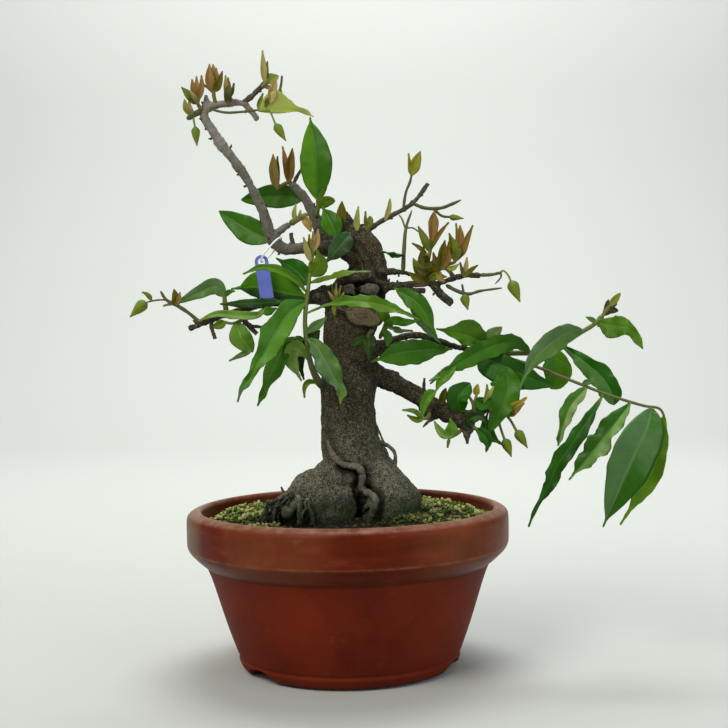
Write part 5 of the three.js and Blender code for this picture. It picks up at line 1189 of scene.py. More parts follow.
# A round root through points, swollen a little here and there
def addTube(build, points, sides, tint, lumps=0.14):
    rings = []
    for index, (point, radius) in enumerate(points):
        before, after = points[max(index - 1, 0)][0], points[min(index + 1, len(points) - 1)][0]
        forward = (after - before).normalized()
        side = forward.cross(Vector((0.1, 1, 0.05))).normalized()
        face = side.cross(forward)
        size = radius * (1 + lumps * noise.noise(point * 0.5) + 0.5 * lumps * noise.noise(point * 1.4))
        if index in (0, len(points) - 1):
            size *= 0.5
        rings.append(ringAt(point, side, face, [size] * sides))
    skin(build, rings, [tint] * len(rings))


def addSurfaceRoots(build, tree):
    for places in surfaceRoots:
        path = pathOnWood(tree, places, 0.9)
        depths = [step[0].y for step in path]
        points = []
        for index, (point, aim, radius, proud) in enumerate(path):
            window = depths[max(index - 2, 0):index + 3]
            level = 0.5 * min(window) + 0.5 * sum(window) / len(window)
            point = eyePlace + aim * ((level - eyePlace.y) / aim.y)
            points.append((point + aim * (radius - proud), radius))
        addTube(build, points, 14, (0.0, 0.0, 0.3), 0.34)


# Short dead spurs and bud scars on the thinner branches and twigs
def addSpurs(build):
    dice = random.Random(woodLook["rootSeed"] + 5)
    spacing = woodLook["spurSpacing"]
    for limb in branches + twigs:
        points = [spot(p) for p in limb]
        length = lineLength(points)
        for spur in range(int(length / spacing)):
            along = min((spur + dice.uniform(0.1, 0.9)) * spacing / length, 0.96)
            turn, reach, lean = (dice.uniform(*span) for span in ((0, 2 * math.pi), (0.5, 1.6), (0.2, 0.9)))
            radius = between([p[3] for p in limb], along)
            if radius > 3.4 or radius < 0.5:
                continue
            centre, forward, side, face = frameOn(points, along)
            out = side * math.cos(turn) + face * math.sin(turn)
            thick = min(0.8, radius * 0.7)
            foot, middle = centre + out * (radius * 0.5), centre + out * (radius + 0.4 * reach)
            tip = centre + out * (radius + reach) + forward * (reach * lean)
            addTube(build, [(foot, thick), (middle, thick * 0.75), (tip, thick * 0.4)], 6, (0.0, 0.0, 0.15))


# A dark mat of curled roots at the left foot, and a few strands that hang over the left lobe's foot
def addFineRoots(build):
    dice = random.Random(woodLook["rootSeed"])
    for root in range(woodLook["fineRoots"]):
        if root % 5 == 4:
            start = [dice.uniform(298, 313), dice.uniform(497, 506), dice.uniform(-29, -25)]
            lean = dice.uniform(-6, 3)
        else:
            across = dice.uniform(272, 300)
            start = [across, 486 + (300 - across) * 0.5 + dice.uniform(0, 8), dice.uniform(-28, -19)]
            lean = dice.uniform(-34, -4) * (across - 262) / 38
        end = [start[0] + lean, dice.uniform(508, 527), start[2] + dice.uniform(-7, -1)]
        size = dice.uniform(0.4, 0.85)
        curl = dice.uniform(1.4, 4.2)
        points = []
        for step in range(7):
            along = step / 6
            flat = [a + (b - a) * along for a, b in zip(start, end)]
            sway = [curl * math.sin(math.pi * along) * dice.uniform(-1, 1) for axis in range(3)]
            place = [flat[0] + 1.6 * sway[0], flat[1] + sway[1], flat[2] + sway[2]]
            points.append((spot(place), size * (1 - 0.45 * along)))
        addTube(build, points, 6, (dice.choice((0.1, 0.45, 0.6, 0.75)), 0.0, dice.choice((0.0, 0.0, 0.4))))
    for places in strands:
        flat = [spot(p) for p in places]
        points = [(curvePoint(flat, s / 12), between([p[3] for p in places], s / 12)) for s in range(13)]
        addTube(build, points, 8, (0.3 if points[0][1] < 1.05 else 0.0, 0.0, 0.2), 0.3)


# Weathered persimmon bark: dry and matt, cracked into small plates, so it looks speckled and has no gloss
def barkMaterial():
    material, tree = newMaterial("weatheredPersimmonBark")
    # hollow is near black: painted shade for the hollow and the creases, and a dark tone on the fine roots
    look = {"dark": "#211d13", "brown": "#3b3428", "brownLight": "#5c5645", "grey": "#505043",
            "greyLight": "#7b7b6c", "ochre": "#4f4228", "moss": "#22350f", "pale": "#9a968a",
            "paintedFootShade": "#17170e", "speck": "#8a8a76", "dull": "#8f887a", "hollow": "#080604"}
    where = addNode(tree, "ShaderNodeTexCoord", out="Object")
    tint = addNode(tree, "ShaderNodeAttribute", out="Color", attribute_name="tint")
    shadeAndDarkRootShare, cutMark, paleMark = addNode(tree, "ShaderNodeSeparateColor", [tint], None)
    height = addNode(tree, "ShaderNodeSeparateXYZ", [where], 2)
    upright = addNode(tree, "ShaderNodeMapping", {"Vector": where, "Scale": (1, 1, 0.3)})
    # Speckles of about half a millimetre, larger flecks, clouds and patches, and upright streaks
    speckle, flecks, cloud, patches, mossPatches, ragged, streak = (
        addNode(tree, "ShaderNodeTexNoise",
                {"Vector": place, "Scale": scale, "Detail": detail, "Roughness": rough})
        for place, scale, detail, rough in (
            (where, 1700.0, 1.0, 0.5), (where, 620.0, 4.0, 0.7), (where, 70.0, 3.0, 0.6),
            (where, 38.0, 2.0, 0.55), (where, 150.0, 3.0, 0.55), (where, 260.0, 4.0, 0.7),
            (upright, 330.0, 3.0, 0.6)))
    brown = addNode(tree, "ShaderNodeValToRGB", [flecks],
                    stops=[(0.33, look["dark"]), (0.5, look["brown"]), (0.7, look["brownLight"])])
    grey = addNode(tree, "ShaderNodeValToRGB", [flecks],
                   stops=[(0.3, look["dark"]), (0.47, look["grey"]), (0.66, look["greyLight"])])
    # The root base is grey-green, the wood above it brown, with an uneven border
    rootTop = addNode(tree, "ShaderNodeMath", [cloud, 0.03, 0.109], operation="MULTIPLY_ADD")
    belowTop = addNode(tree, "ShaderNodeMath", [rootTop, height], operation="SUBTRACT")
    rootward = addNode(tree, "ShaderNodeMapRange", [belowTop, 0.0, 0.025])
    colour = addNode(tree, "ShaderNodeMix", {0: rootward, 6: brown, 7: grey}, 2, data_type="RGBA")
    duller = addNode(tree, "ShaderNodeMix", {0: 1.0, 6: colour, 7: look["dull"]}, 2, data_type="RGBA",
                     blend_type="MULTIPLY")
    cloudShare = addNode(tree, "ShaderNodeValToRGB", [cloud], stops=[(0.3, 0.55), (0.5, 0.0)])
    streakShare = addNode(tree, "ShaderNodeValToRGB", [streak], stops=[(0.34, 0.5), (0.48, 0.0)])
    patchShare = addNode(tree, "ShaderNodeValToRGB", [patches], stops=[(0.52, 0.0), (0.7, 0.5)])
    paleShare = addNode(tree, "ShaderNodeMath", [paleMark, 0.75], operation="MULTIPLY")
    calm = addNode(tree, "ShaderNodeMath", [paleMark, -0.75, 1.0], operation="MULTIPLY_ADD")
    darkDots = addNode(tree, "ShaderNodeValToRGB", [speckle], stops=[(0.38, 0.65), (0.47, 0.0)])
    dotShare = addNode(tree, "ShaderNodeMath", [darkDots, calm], operation="MULTIPLY")
    lightDots = addNode(tree, "ShaderNodeValToRGB", [speckle], stops=[(0.55, 0.0), (0.65, 1.0)])
    lightness = addNode(tree, "ShaderNodeMath", [rootward, 0.2, 0.3], operation="MULTIPLY_ADD")
    calmLight = addNode(tree, "ShaderNodeMath", [lightness, calm], operation="MULTIPLY")
    lightShare = addNode(tree, "ShaderNodeMath", [lightDots, calmLight], operation="MULTIPLY")
    # Painted shade: the root lobes grow darker toward their foot at the soil
    paintedShadeShare = addNode(tree, "ShaderNodeMapRange", [height, 0.086 - 1 / 75, 0.086, 0.6, 0.0])
    mossHeight = addNode(tree, "ShaderNodeMapRange", [height, 0.0865 - 1 / 110, 0.0865, 0.7, 0.0])
    mossCover = addNode(tree, "ShaderNodeValToRGB", [mossPatches], stops=[(0.38, 0.0), (0.58, 1.0)])
    mossShare = addNode(tree, "ShaderNodeMath", [mossHeight, mossCover], operation="MULTIPLY")
    # The old cut: rings round its middle, ragged with the grain, and a dark callus at its edge
    cutShare = addNode(tree, "ShaderNodeMath", [cutMark, 4.5], operation="MULTIPLY", use_clamp=True)
    fromMiddle = addNode(tree, "ShaderNodeMath", [cutMark, 0.25], operation="SUBTRACT")
    ringPlace = addNode(tree, "ShaderNodeMath", [ragged, 0.5, fromMiddle], operation="MULTIPLY_ADD")
    cutWood = addNode(tree, "ShaderNodeValToRGB", [ringPlace], stops=[
        (0.3, "#5c5040"), (0.4, "#4c4232"), (0.5, "#6b6049"), (0.6, "#544937"),
        (0.72, "#6d634b"), (0.8, "#5a503a"), (0.88, "#71674c"), (0.97, "#2e2a1c")])
    for share, layer in ((cloudShare, duller), (streakShare, look["dark"]), (patchShare, look["ochre"]),
                         (paleShare, look["pale"]), (dotShare, look["dark"]), (lightShare, look["speck"]),
                         (paintedShadeShare, look["paintedFootShade"]), (mossShare, look["moss"]), (cutShare, cutWood),
                         (shadeAndDarkRootShare, look["hollow"])):
        colour = addNode(tree, "ShaderNodeMix", {0: share, 6: colour, 7: layer}, 2, data_type="RGBA")
    rough = addNode(tree, "ShaderNodeMath", [speckle, 0.2, 0.72], operation="MULTIPLY_ADD")
    low = addNode(tree, "ShaderNodeMath", [streak, 0.6, flecks], operation="MULTIPLY_ADD")
    relief = addNode(tree, "ShaderNodeMath", [speckle, 0.35, low], operation="MULTIPLY_ADD")
    bump = addNode(tree, "ShaderNodeBump", {"Height": relief, "Distance": 0.0006, "Strength": 0.9})
    shader = addNode(tree, "ShaderNodeBsdfPrincipled", {
        "Base Color": colour, "Roughness": rough, "Normal": bump, "Specular IOR Level": 0.12})
    addNode(tree, "ShaderNodeOutputMaterial", [shader])
    return material


bark = barkMaterial()
woodMesh = growWood()
weatherWood(woodMesh)
setSmooth(woodMesh)
addPiece("wood", woodMesh, bark, ["trunk"])
woodTree = meshTree(woodMesh)
twigBuild = newBuild()
for twig in twigs:
    addRings(twigBuild, limbRings(twig, 8, 9, knotty(twig, 0.24)))
addSpurs(twigBuild)
twigBuild["tints"] = [(0.0, 0.0, 0.15)] * len(twigBuild["points"])
addFineRoots(twigBuild)
addSurfaceRoots(twigBuild, woodTree)
twigMesh = meshFrom("twigs_and_fine_roots", twigBuild)
tidyMesh(twigMesh)
addPiece("twigs_and_fine_roots", twigMesh, bark, [])
print("wood:", len(woodMesh.polygons), "faces")


# Pot: a turned clay training pot with a washed rim band and a foot ring with three notches

potLook = {
    "height": 76.0,
    "bandRadius": 78.4,
    "bandFoot": 50.4,
    "bodyTop": 69.1,
    "footRadius": 49.0,
    "wall": 7.0,
    "wobble": 0.12,  # mm that the turned wall is off round
    "notchWidth": 23.0,
    "notchHeight": 5.5,
    "notchBearings": (-52, 70, 190),
    "segments": 160,
}


# Rounds each corner of a profile of [radius, height, fillet]
def filleted(corners, steps=4):
    line = []
    for index, (radius, height, fillet) in enumerate(corners):
        here = Vector((radius, height))
        before = Vector(corners[index - 1][:2]) - here
        after = Vector(corners[(index + 1) % len(corners)][:2]) - here
        start = here + before.normalized() * min(fillet, before.length * 0.45)
        end = here + after.normalized() * min(fillet, after.length * 0.45)
        for step in range(steps + 1):
            t = step / steps
            line.append(start * (1 - t) ** 2 + here * (2 * t * (1 - t)) + end * t ** 2)
    return line


# A profile of [radius, height] turned round the axis, a little off round outside the drain hole
def turnedMesh(name, profile, segments, wobble):
    build = newBuild()
    for angle in turns(segments):
        for radius, height in profile:
            uneven = wobble * (math.sin(2 * angle + 0.7) + 0.6 * math.sin(5 * angle + height * 0.05))
            size = radius - abs(uneven) if radius > 20 else radius
            build["points"].append(Vector((size * math.cos(angle), size * math.sin(angle), height)))
    joinRows(build, segments, len(profile))
    return meshFrom(name, build)


def makePot():
    look = potLook
    inner = look["bandRadius"] - look["wall"]
    foot, band, top, waist = look["footRadius"], look["bandRadius"], look["height"], look["bandFoot"]
    profile = filleted([
        (foot - 6, 0, 0.8), (foot, 0, 0.8), (foot + 3.4, 1.4, 1.2), (foot + 5.3, 5, 1.6),
        (foot + 4.4, 6.5, 0.8), (foot + 5.4, 7.8, 0.8), (59, 20, 9), (66.6, 44.5, 5),
        (look["bodyTop"], waist, 0.6), (71, waist + 1.5, 1), (74, waist + 4.1, 2),
        (band - 1.3, waist + 7.3, 1.2), (band - 0.1, waist + 9.8, 1.6), (band, top - 3.8, 2),
        (band - 0.5, top - 1.2, 1.6), (band - 3, top + 0.4, 1.6), (inner + 1, top + 1.3, 1.2),
        (inner - 0.4, top, 1), (inner - 0.7, top - 4.4, 2), (inner - 4, waist, 8), (foot + 3, 13, 4),
        (foot - 2, 9, 2), (9, 9, 0.8), (9, 3.5, 0.6), (foot - 7, 3.5, 1.2)])
    body = newObject("potBody", turnedMesh("potBody", profile, look["segments"], look["wobble"]))
    tidyMesh(body.data)
    build = newBuild()
    for bearing in look["notchBearings"]:
        cosine, sine = math.cos(math.radians(bearing)), math.sin(math.radians(bearing))
        out, along = Vector((sine, -cosine, 0)), Vector((cosine, sine, 0))
        addRings(build, [[out * depth + along * (look["notchWidth"] / 2 * math.cos(turn))
                          + Vector((0, 0, look["notchHeight"] * math.sin(turn))) for turn in turns(40)]
                         for depth in (foot - 9, foot + 9)])
    cutterMesh = bpy.data.meshes.new("notches")
    cutterMesh.from_pydata([p * metres + potAxis for p in build["points"]], [], build["faces"])
    tidyMesh(cutterMesh, False)
    cutter = newObject("notches", cutterMesh)
    notch = body.modifiers.new("notches", "BOOLEAN")
    notch.operation = "DIFFERENCE"
    notch.solver = "EXACT"
    notch.object = cutter
    mesh = settled(body)
    bpy.data.objects.remove(cutter)
    setSmooth(mesh)
    return mesh


# Red clay, turned and fired, with an iron wash brushed on its rim band: the body is matt and
# clouded, the band is smoother, with a low sheen and rusty runs
def clayMaterial():
    material, tree = newMaterial("firedClayWithIronWash")
    look = {"body": "#70240e", "deep": "#591908", "warm": "#7e2b11", "band": "#5c1c08", "bandDark": "#4c1603",
            "bandWarm": "#7b3420", "bandRust": "#7a452a", "paintedSheen": "#6c5238", "worn": "#876450",
            "dust": "#8a6a54", "edgeLine": "#8a5c42", "paintedCreaseShade": "#3a1710", "underBand": "#3a1208",
            "inside": "#4a1a0f"}
    bandFoot, edgeHeight, lipHeight, innerRadius = 0.0508, 0.0595, 0.0746, 0.0722
    blur = 1 / 900  # m over which one colour passes into the next
    where = addNode(tree, "ShaderNodeTexCoord", out="Object")
    fromAxis = addNode(tree, "ShaderNodeVectorMath", [where, potAxis], operation="SUBTRACT")
    sideways, deep, height = addNode(tree, "ShaderNodeSeparateXYZ", [fromAxis], None)
    level = addNode(tree, "ShaderNodeVectorMath", [fromAxis, (1, 1, 0)], operation="MULTIPLY")
    radius = addNode(tree, "ShaderNodeVectorMath", [level], 1, operation="LENGTH")
    squashed = addNode(tree, "ShaderNodeMapping", {"Vector": where, "Scale": (1, 1, 3.5)})
    cloud, blotch, ripple, edgePatches, wearPatches, dustPatches, grit, smear = (
        addNode(tree, "ShaderNodeTexNoise",
                {"Vector": place, "Scale": scale, "Detail": detail, "Roughness": rough})
        for place, scale, detail, rough in (
            (where, 28.0, 4.0, 0.6), (where, 17.0, 5.0, 0.65), (where, 60.0, 4.0, 0.6),
            (where, 120.0, 3.0, 0.55), (where, 160.0, 4.0, 0.7), (where, 95.0, 5.0, 0.7),
            (where, 1300.0, 3.0, 0.7), (squashed, 45.0, 3.0, 0.6)))
    body = addNode(tree, "ShaderNodeValToRGB", [cloud],
                   stops=[(0.3, look["deep"]), (0.52, look["body"]), (0.72, look["warm"])])
    band = addNode(tree, "ShaderNodeValToRGB", [smear],
                   stops=[(0.3, look["bandDark"]), (0.55, look["band"]), (0.8, look["bandWarm"])])
    # From 0 at the band's left end to 1 at its right, with an uneven border to each stretch
    across = addNode(tree, "ShaderNodeMath", [sideways, 6.25, 0.5], operation="MULTIPLY_ADD")
    uneven = addNode(tree, "ShaderNodeMath", [ripple, 0.06, -0.03], operation="MULTIPLY_ADD")
    drips = addNode(tree, "ShaderNodeMath", [across, uneven], operation="ADD")
    thin = addNode(tree, "ShaderNodeValToRGB", [drips], stops=[
        (0.14, 0.05), (0.165, 0.85), (0.34, 0.75), (0.44, 0.3),
        (0.5, 0.05), (0.66, 0.1), (0.8, 0.7), (0.95, 0.8)])
    rustCover = addNode(tree, "ShaderNodeValToRGB", [blotch], stops=[(0.38, 0.35), (0.6, 0.9)])
    rustShare = addNode(tree, "ShaderNodeMath", [thin, rustCover], operation="MULTIPLY")
    # Painted reflection: a greyish tan sheen in patches at the band's left end
    leftEnd = addNode(tree, "ShaderNodeValToRGB", [drips], stops=[(0.06, 1.0), (0.085, 0.0)])
    sheenCover = addNode(tree, "ShaderNodeValToRGB", [cloud], stops=[(0.35, 0.6), (0.6, 0.9)])
    paintedSheenShare = addNode(tree, "ShaderNodeMath", [leftEnd, sheenCover], operation="MULTIPLY")
    for share, layer in ((rustShare, look["bandRust"]), (paintedSheenShare, look["paintedSheen"])):
        band = addNode(tree, "ShaderNodeMix", {0: share, 6: band, 7: layer}, 2, data_type="RGBA")
    onBand = addNode(tree, "ShaderNodeMapRange", [height, bandFoot, bandFoot + blur])
    # Painted shade in the crease under the band and on the band's underside, and a paler line along its lower
    # edge
    overFoot = addNode(tree, "ShaderNodeMath", [height, bandFoot], operation="SUBTRACT")
    fromFoot = addNode(tree, "ShaderNodeMath", [overFoot], operation="ABSOLUTE")
    creaseShadeShare = addNode(tree, "ShaderNodeMapRange", [fromFoot, 0.0, 1 / 700, 0.6, 0.0])
    underHeight = edgeHeight - 0.0003
    under = addNode(tree, "ShaderNodeMapRange", [height, underHeight - blur, underHeight, 0.3, 0.0])
    underShare = addNode(tree, "ShaderNodeMath", [under, onBand], operation="MULTIPLY")
    overEdge = addNode(tree, "ShaderNodeMath", [height, edgeHeight], operation="SUBTRACT")
    fromEdge = addNode(tree, "ShaderNodeMath", [overEdge], operation="ABSOLUTE")
    edgeLine = addNode(tree, "ShaderNodeMapRange", [fromEdge, 0.0, 1 / 1100, 1.0, 0.0])
    edgeCover = addNode(tree, "ShaderNodeValToRGB", [edgePatches], stops=[(0.4, 0.15), (0.65, 0.6)])
    edgeShare = addNode(tree, "ShaderNodeMath", [edgeLine, edgeCover], operation="MULTIPLY")
    lip = addNode(tree, "ShaderNodeMapRange", [height, lipHeight, lipHeight + 1 / 800, 0.0, 0.75])
    wearCover = addNode(tree, "ShaderNodeValToRGB", [wearPatches], stops=[(0.4, 0.25), (0.62, 1.0)])
    wearShare = addNode(tree, "ShaderNodeMath", [lip, wearCover], operation="MULTIPLY")
    dustShare = addNode(tree, "ShaderNodeValToRGB", [dustPatches], stops=[(0.6, 0.0), (0.8, 0.35)])
    insideShare = addNode(tree, "ShaderNodeMapRange", [radius, innerRadius - blur, innerRadius, 0.35, 0.0])
    colour = body
    for share, layer in ((onBand, band), (creaseShadeShare, look["paintedCreaseShade"]), (underShare, look["underBand"]),
                         (edgeShare, look["edgeLine"]), (wearShare, look["worn"]), (dustShare, look["dust"]),
                         (insideShare, look["inside"])):
        colour = addNode(tree, "ShaderNodeMix", {0: share, 6: colour, 7: layer}, 2, data_type="RGBA")
    dull = addNode(tree, "ShaderNodeMath", [cloud, 0.15, 0.5], operation="MULTIPLY_ADD")
    rough = addNode(tree, "ShaderNodeMath", [onBand, -0.2, dull], operation="MULTIPLY_ADD")
    relief = addNode(tree, "ShaderNodeMath", [grit, 0.25, smear], operation="MULTIPLY_ADD")
    bump = addNode(tree, "ShaderNodeBump", {"Height": relief, "Distance": 0.0004, "Strength": 0.5})
    shader = addNode(tree, "ShaderNodeBsdfPrincipled", {
        "Base Color": colour, "Roughness": rough, "Normal": bump, "Specular IOR Level": 0.07})
    addNode(tree, "ShaderNodeOutputMaterial", [shader])
    return material


potMesh = makePot()
addPiece("clay_pot", potMesh, clayMaterial(), ["pot"])
print("pot:", len(potMesh.polygons), "faces")


# Soil: a mounded fill whose top is grains of baked clay, with moss rosettes between

soilLook = {
    "rimRadius": 69.6,
    "top": 70.5,
    "mound": 4.5,  # mm that the middle stands higher
    "bank": 2.8,  # mm that the soil is banked up under the moss
    "grit": 0.5,
    "grainSpacing": 2.0,
    "grainSize": (0.7, 1.6),
    "mossSpacing": 2.5,
    "mossSize": (1.5, 3.7),
    "mossLeft": (-26, -44),  # mm across, where the moss begins and where it is full
    "mossRight": (12, 28),
    "mossPatch": 45.0,  # patches of moss to a metre
    "level": 68.5,  # mm, ground lower than this lies bare
    "seed": 7,
}


# How much moss a place has: it grows toward the sides of the front, and behind
def mossShare(across, deep):
    return max(smoothStep(*soilLook["mossLeft"], across), smoothStep(*soilLook["mossRight"], across),
               smoothStep(0, 25, deep))


def soilTopHeight(radius, angle):
    mound = soilLook["mound"] * (1 - min(radius / soilLook["rimRadius"], 1)) ** 1.2
    moss = mossShare(radius * math.cos(angle), radius * math.sin(angle))
    return soilLook["top"] + mound + soilLook["bank"] * moss * smoothStep(69, 60, radius) - 0.8


def makeSoilBody():
    rim = soilLook["rimRadius"]
    profile = [(0.01, 9.4), (46.4, 9.4), (51.2, 13.6), (66.8, 50.8), (rim - 0.3, 66)]
    profile += [(rim * (1 - row / 40) + 0.01, None) for row in range(41)]
    build = newBuild()
    segments = 120
    for angle in turns(segments):
        for radius, height in profile:
            here = Vector((radius * math.cos(angle), radius * math.sin(angle), 0))
            if height is None:
                height = soilTopHeight(radius, angle) + soilLook["grit"] * noise.noise(here * 0.6)
            build["points"].append(here + Vector((0, 0, height)))
    joinRows(build, segments, len(profile), closed=False)
    mesh = meshFrom("soilBody", build)
    tidyMesh(mesh)
    return mesh


# Scatters grains or rosettes on the open ground, each with its own turn, size, squash and tone
def soilTree(kind, material):
    grains = kind == "grains"
    tree = bpy.data.node_groups.new(kind, "GeometryNodeTree")
    for label, socket in (("Ground", "Geometry"), ("Spacing", "Float"), ("Smallest", "Float"),
                          ("Largest", "Float"), ("Seed", "Int")):
        tree.interface.new_socket(label, in_out="INPUT", socket_type="NodeSocket" + socket)
    tree.interface.new_socket("Scattered", in_out="OUTPUT", socket_type="NodeSocketGeometry")
    given = addNode(tree, "NodeGroupInput", out=None)
    openShare = addNode(tree, "GeometryNodeInputNamedAttribute", {"Name": "openGround"}, data_type="FLOAT")
    points = addNode(tree, "GeometryNodeDistributePointsOnFaces", {
        "Mesh": given["Ground"], "Distance Min": given["Spacing"], "Density Max": 400000.0,
        "Density Factor": openShare, "Seed": given["Seed"]}, distribute_method="POISSON")
    if grains:
        cube = addNode(tree, "GeometryNodeMeshCube", {"Size": (1.6, 1.6, 1.6)})
        shape = addNode(tree, "GeometryNodeSubdivisionSurface", {"Mesh": cube, "Level": 1})
    else:
        rosette = bpy.data.objects["rosetteShape"]
        shape = addNode(tree, "GeometryNodeObjectInfo", {"Object": rosette}, "Geometry")
    turned = (6.28, 6.28, 6.28) if grains else (0.9, 0.9, 6.28)
    spin = addNode(tree, "FunctionNodeRandomValue", {1: turned, "Seed": given["Seed"]},
                   data_type="FLOAT_VECTOR")
    size = addNode(tree, "FunctionNodeRandomValue", {
        2: given["Smallest"], 3: given["Largest"], "Seed": given["Seed"]}, 1, data_type="FLOAT")
    flattest = (0.7, 0.7, 0.55) if grains else (0.8, 0.8, 0.6)
    squash = addNode(tree, "FunctionNodeRandomValue", {0: flattest, 1: (1.15, 1.15, 0.95)},
                     data_type="FLOAT_VECTOR")
    scale = addNode(tree, "ShaderNodeVectorMath", {0: squash, "Scale": size}, operation="SCALE")
    placed = addNode(tree, "GeometryNodeInstanceOnPoints", {
        "Points": points, "Instance": shape, "Rotation": spin, "Scale": scale})
    tone = addNode(tree, "FunctionNodeRandomValue", {"Seed": given["Seed"]}, 1, data_type="FLOAT")
    toned = addNode(tree, "GeometryNodeStoreNamedAttribute", {
        "Geometry": placed, "Name": "tone", "Value": tone}, data_type="FLOAT", domain="INSTANCE")
    real = addNode(tree, "GeometryNodeRealizeInstances", {"Geometry": toned})
    crumble = addNode(tree, "ShaderNodeTexNoise", {"Scale": 700.0, "Detail": 1.0}, "Color")
    nudge = addNode(tree, "ShaderNodeVectorMath", [crumble, (0.5, 0.5, 0.5)], operation="SUBTRACT")
    small = addNode(tree, "ShaderNodeVectorMath", {0: nudge, "Scale": 0.0016 if grains else 0.001},
                    operation="SCALE")
    moved = addNode(tree, "GeometryNodeSetPosition", {"Geometry": real, "Offset": small})
    painted = addNode(tree, "GeometryNodeSetMaterial", {"Geometry": moved, "Material": material})
    addNode(tree, "NodeGroupOutput", [painted])
    return tree


# A rosette of small round leaves, two units wide, of 60 faces in all
def makeRosette():
    verts, faces = [], []
    for index, turn in enumerate(turns(6)):
        turn += 0.25 * (index % 2)
        rise, reach = (0.75, 0.62) if index % 2 else (0.35, 1.0)
        out = Vector((math.cos(turn), math.sin(turn), 0))
        across = Vector((-math.sin(turn), math.cos(turn), 0))
        start = len(verts)
        edge = [(0.3, -0.22), (0.72, -0.34), (0.98, 0.0), (0.72, 0.34), (0.3, 0.22)]
        verts += [out * reach * a + across * b + Vector((0, 0, rise * (0.3 + 0.7 * a))) for a, b in edge]
        verts.append(out * reach * 0.6 + Vector((0, 0, rise + 0.16)))
        verts.append(out * reach * 0.45 + Vector((0, 0, rise * 0.25 - 0.1)))
        for corner in range(5):
            after = (corner + 1) % 5
            faces += [(start + corner, start + after, start + 5), (start + after, start + corner, start + 6)]
    mesh = bpy.data.meshes.new("rosetteShape")
    mesh.from_pydata(verts, [], faces)
    return newObject("rosetteShape", mesh)


def soilMaterial(name, toneLow, toneMiddle, toneHigh, roughness):
    material, tree = newMaterial(name)
    where = addNode(tree, "ShaderNodeTexCoord", out="Object")
    tone = addNode(tree, "ShaderNodeAttribute", out="Fac", attribute_name="tone")
    colour = addNode(tree, "ShaderNodeValToRGB", [tone],
                     stops=[(0.1, toneLow), (0.6, toneMiddle), (1.0, toneHigh)])
    specks = addNode(tree, "ShaderNodeTexNoise", {
        "Vector": where, "Scale": 1400.0, "Detail": 3.0, "Roughness": 0.7})
    speckShare = addNode(tree, "ShaderNodeMath", [specks, 0.7], operation="MULTIPLY")
    specked = addNode(tree, "ShaderNodeMix", {0: speckShare, 6: colour, 7: "#2c2717"}, 2, data_type="RGBA",
                      blend_type="MULTIPLY")
    # Painted shadow: darker round the middle, a little to the front of the trunk, where the trunk shades the
    # soil
    fromShadowMiddle = addNode(tree, "ShaderNodeVectorMath", [where, potAxis + Vector((0.004, -0.02, 0.07))],
                       operation="SUBTRACT")
    away = addNode(tree, "ShaderNodeVectorMath", [fromShadowMiddle], 1, operation="LENGTH")
    paintedShadeShare = addNode(tree, "ShaderNodeMapRange", [away, 0.031, 0.056, 0.6, 0.0])
    shadowedColour = addNode(tree, "ShaderNodeMix", {0: paintedShadeShare, 6: specked, 7: "#16140a"}, 2, data_type="RGBA")
    rough = addNode(tree, "ShaderNodeMath", [specks, 0.15, roughness], operation="MULTIPLY_ADD")
    bump = addNode(tree, "ShaderNodeBump", {"Height": specks, "Distance": 0.0004, "Strength": 0.7})
    shader = addNode(tree, "ShaderNodeBsdfPrincipled", {
        "Base Color": shadowedColour, "Roughness": rough, "Normal": bump, "Specular IOR Level": 0.2})
    addNode(tree, "ShaderNodeOutputMaterial", [shader])
    return material


# Crumbly baked-clay grains: dull ochre and grey; moss: soft yellow-green tips over dark green
grainMaterial = soilMaterial("bakedClayGrains", "#1f190d", "#383017", "#87794a", 0.85)
mossMaterial = soilMaterial("cushionMoss", "#2b3f0c", "#5f7a22", "#c9c97c", 0.7)


def scatter(kind, material, ground, spacing, sizes, seed):
    carrier = newObject(kind, ground)
    tree = soilTree(kind, material)
    modifier = carrier.modifiers.new(kind, "NODES")
    modifier.node_group = tree
    wanted = {"Spacing": spacing * metres, "Smallest": sizes[0] * metres, "Largest": sizes[1] * metres,
              "Seed": seed}
    for item in tree.interface.items_tree:
        if item.item_type == "SOCKET" and item.name in wanted:
            modifier[item.identifier] = wanted[item.name]
    mesh = settled(carrier)
    for vertex in mesh.vertices:
        vertex.co = heldInBox(vertex.co)
    return mesh


# A copy of the soil that says where things lie: off the wood, off the rim, and for moss in its patches
def openGround(mesh, woodTree, keepOff, patch=None):
    ground = mesh.copy()
    layer = ground.attributes.new("openGround", "FLOAT", "POINT")
    for vertex in ground.vertices:
        nearest, normal, index, distance = woodTree.find_nearest(vertex.co)
        inside = (vertex.co - nearest).dot(normal) < 0 or distance < keepOff * metres
        value = 1.0 if vertex.co.z > soilLook["level"] * metres and not inside else 0.0
        if patch and value:
            place = (vertex.co - potAxis) * 1000
            value = mossShare(place.x, place.y) * smoothStep(-0.45, -0.1, noise.noise(vertex.co * patch))
        layer.data[vertex.index].value = value
    return ground


soilMesh = makeSoilBody()
rosette = makeRosette()
grainMesh = scatter("grains", grainMaterial, openGround(soilMesh, woodTree, 0.5), soilLook["grainSpacing"],
                    soilLook["grainSize"], soilLook["seed"])
mossMesh = scatter("moss", mossMaterial, openGround(soilMesh, woodTree, 1.5, soilLook["mossPatch"]),
                   soilLook["mossSpacing"], soilLook["mossSize"], soilLook["seed"] + 4)
bpy.data.objects.remove(rosette)
setSmooth(mossMesh)
addPiece("soil_fill", soilMesh, grainMaterial, ["soil"])
addPiece("soil_grains", grainMesh, grainMaterial, [])
addPiece("soil_moss", mossMesh, mossMaterial, [])
print("soil:", len(grainMesh.polygons), "grain faces,", len(mossMesh.polygons), "moss faces")


# Tag and tie

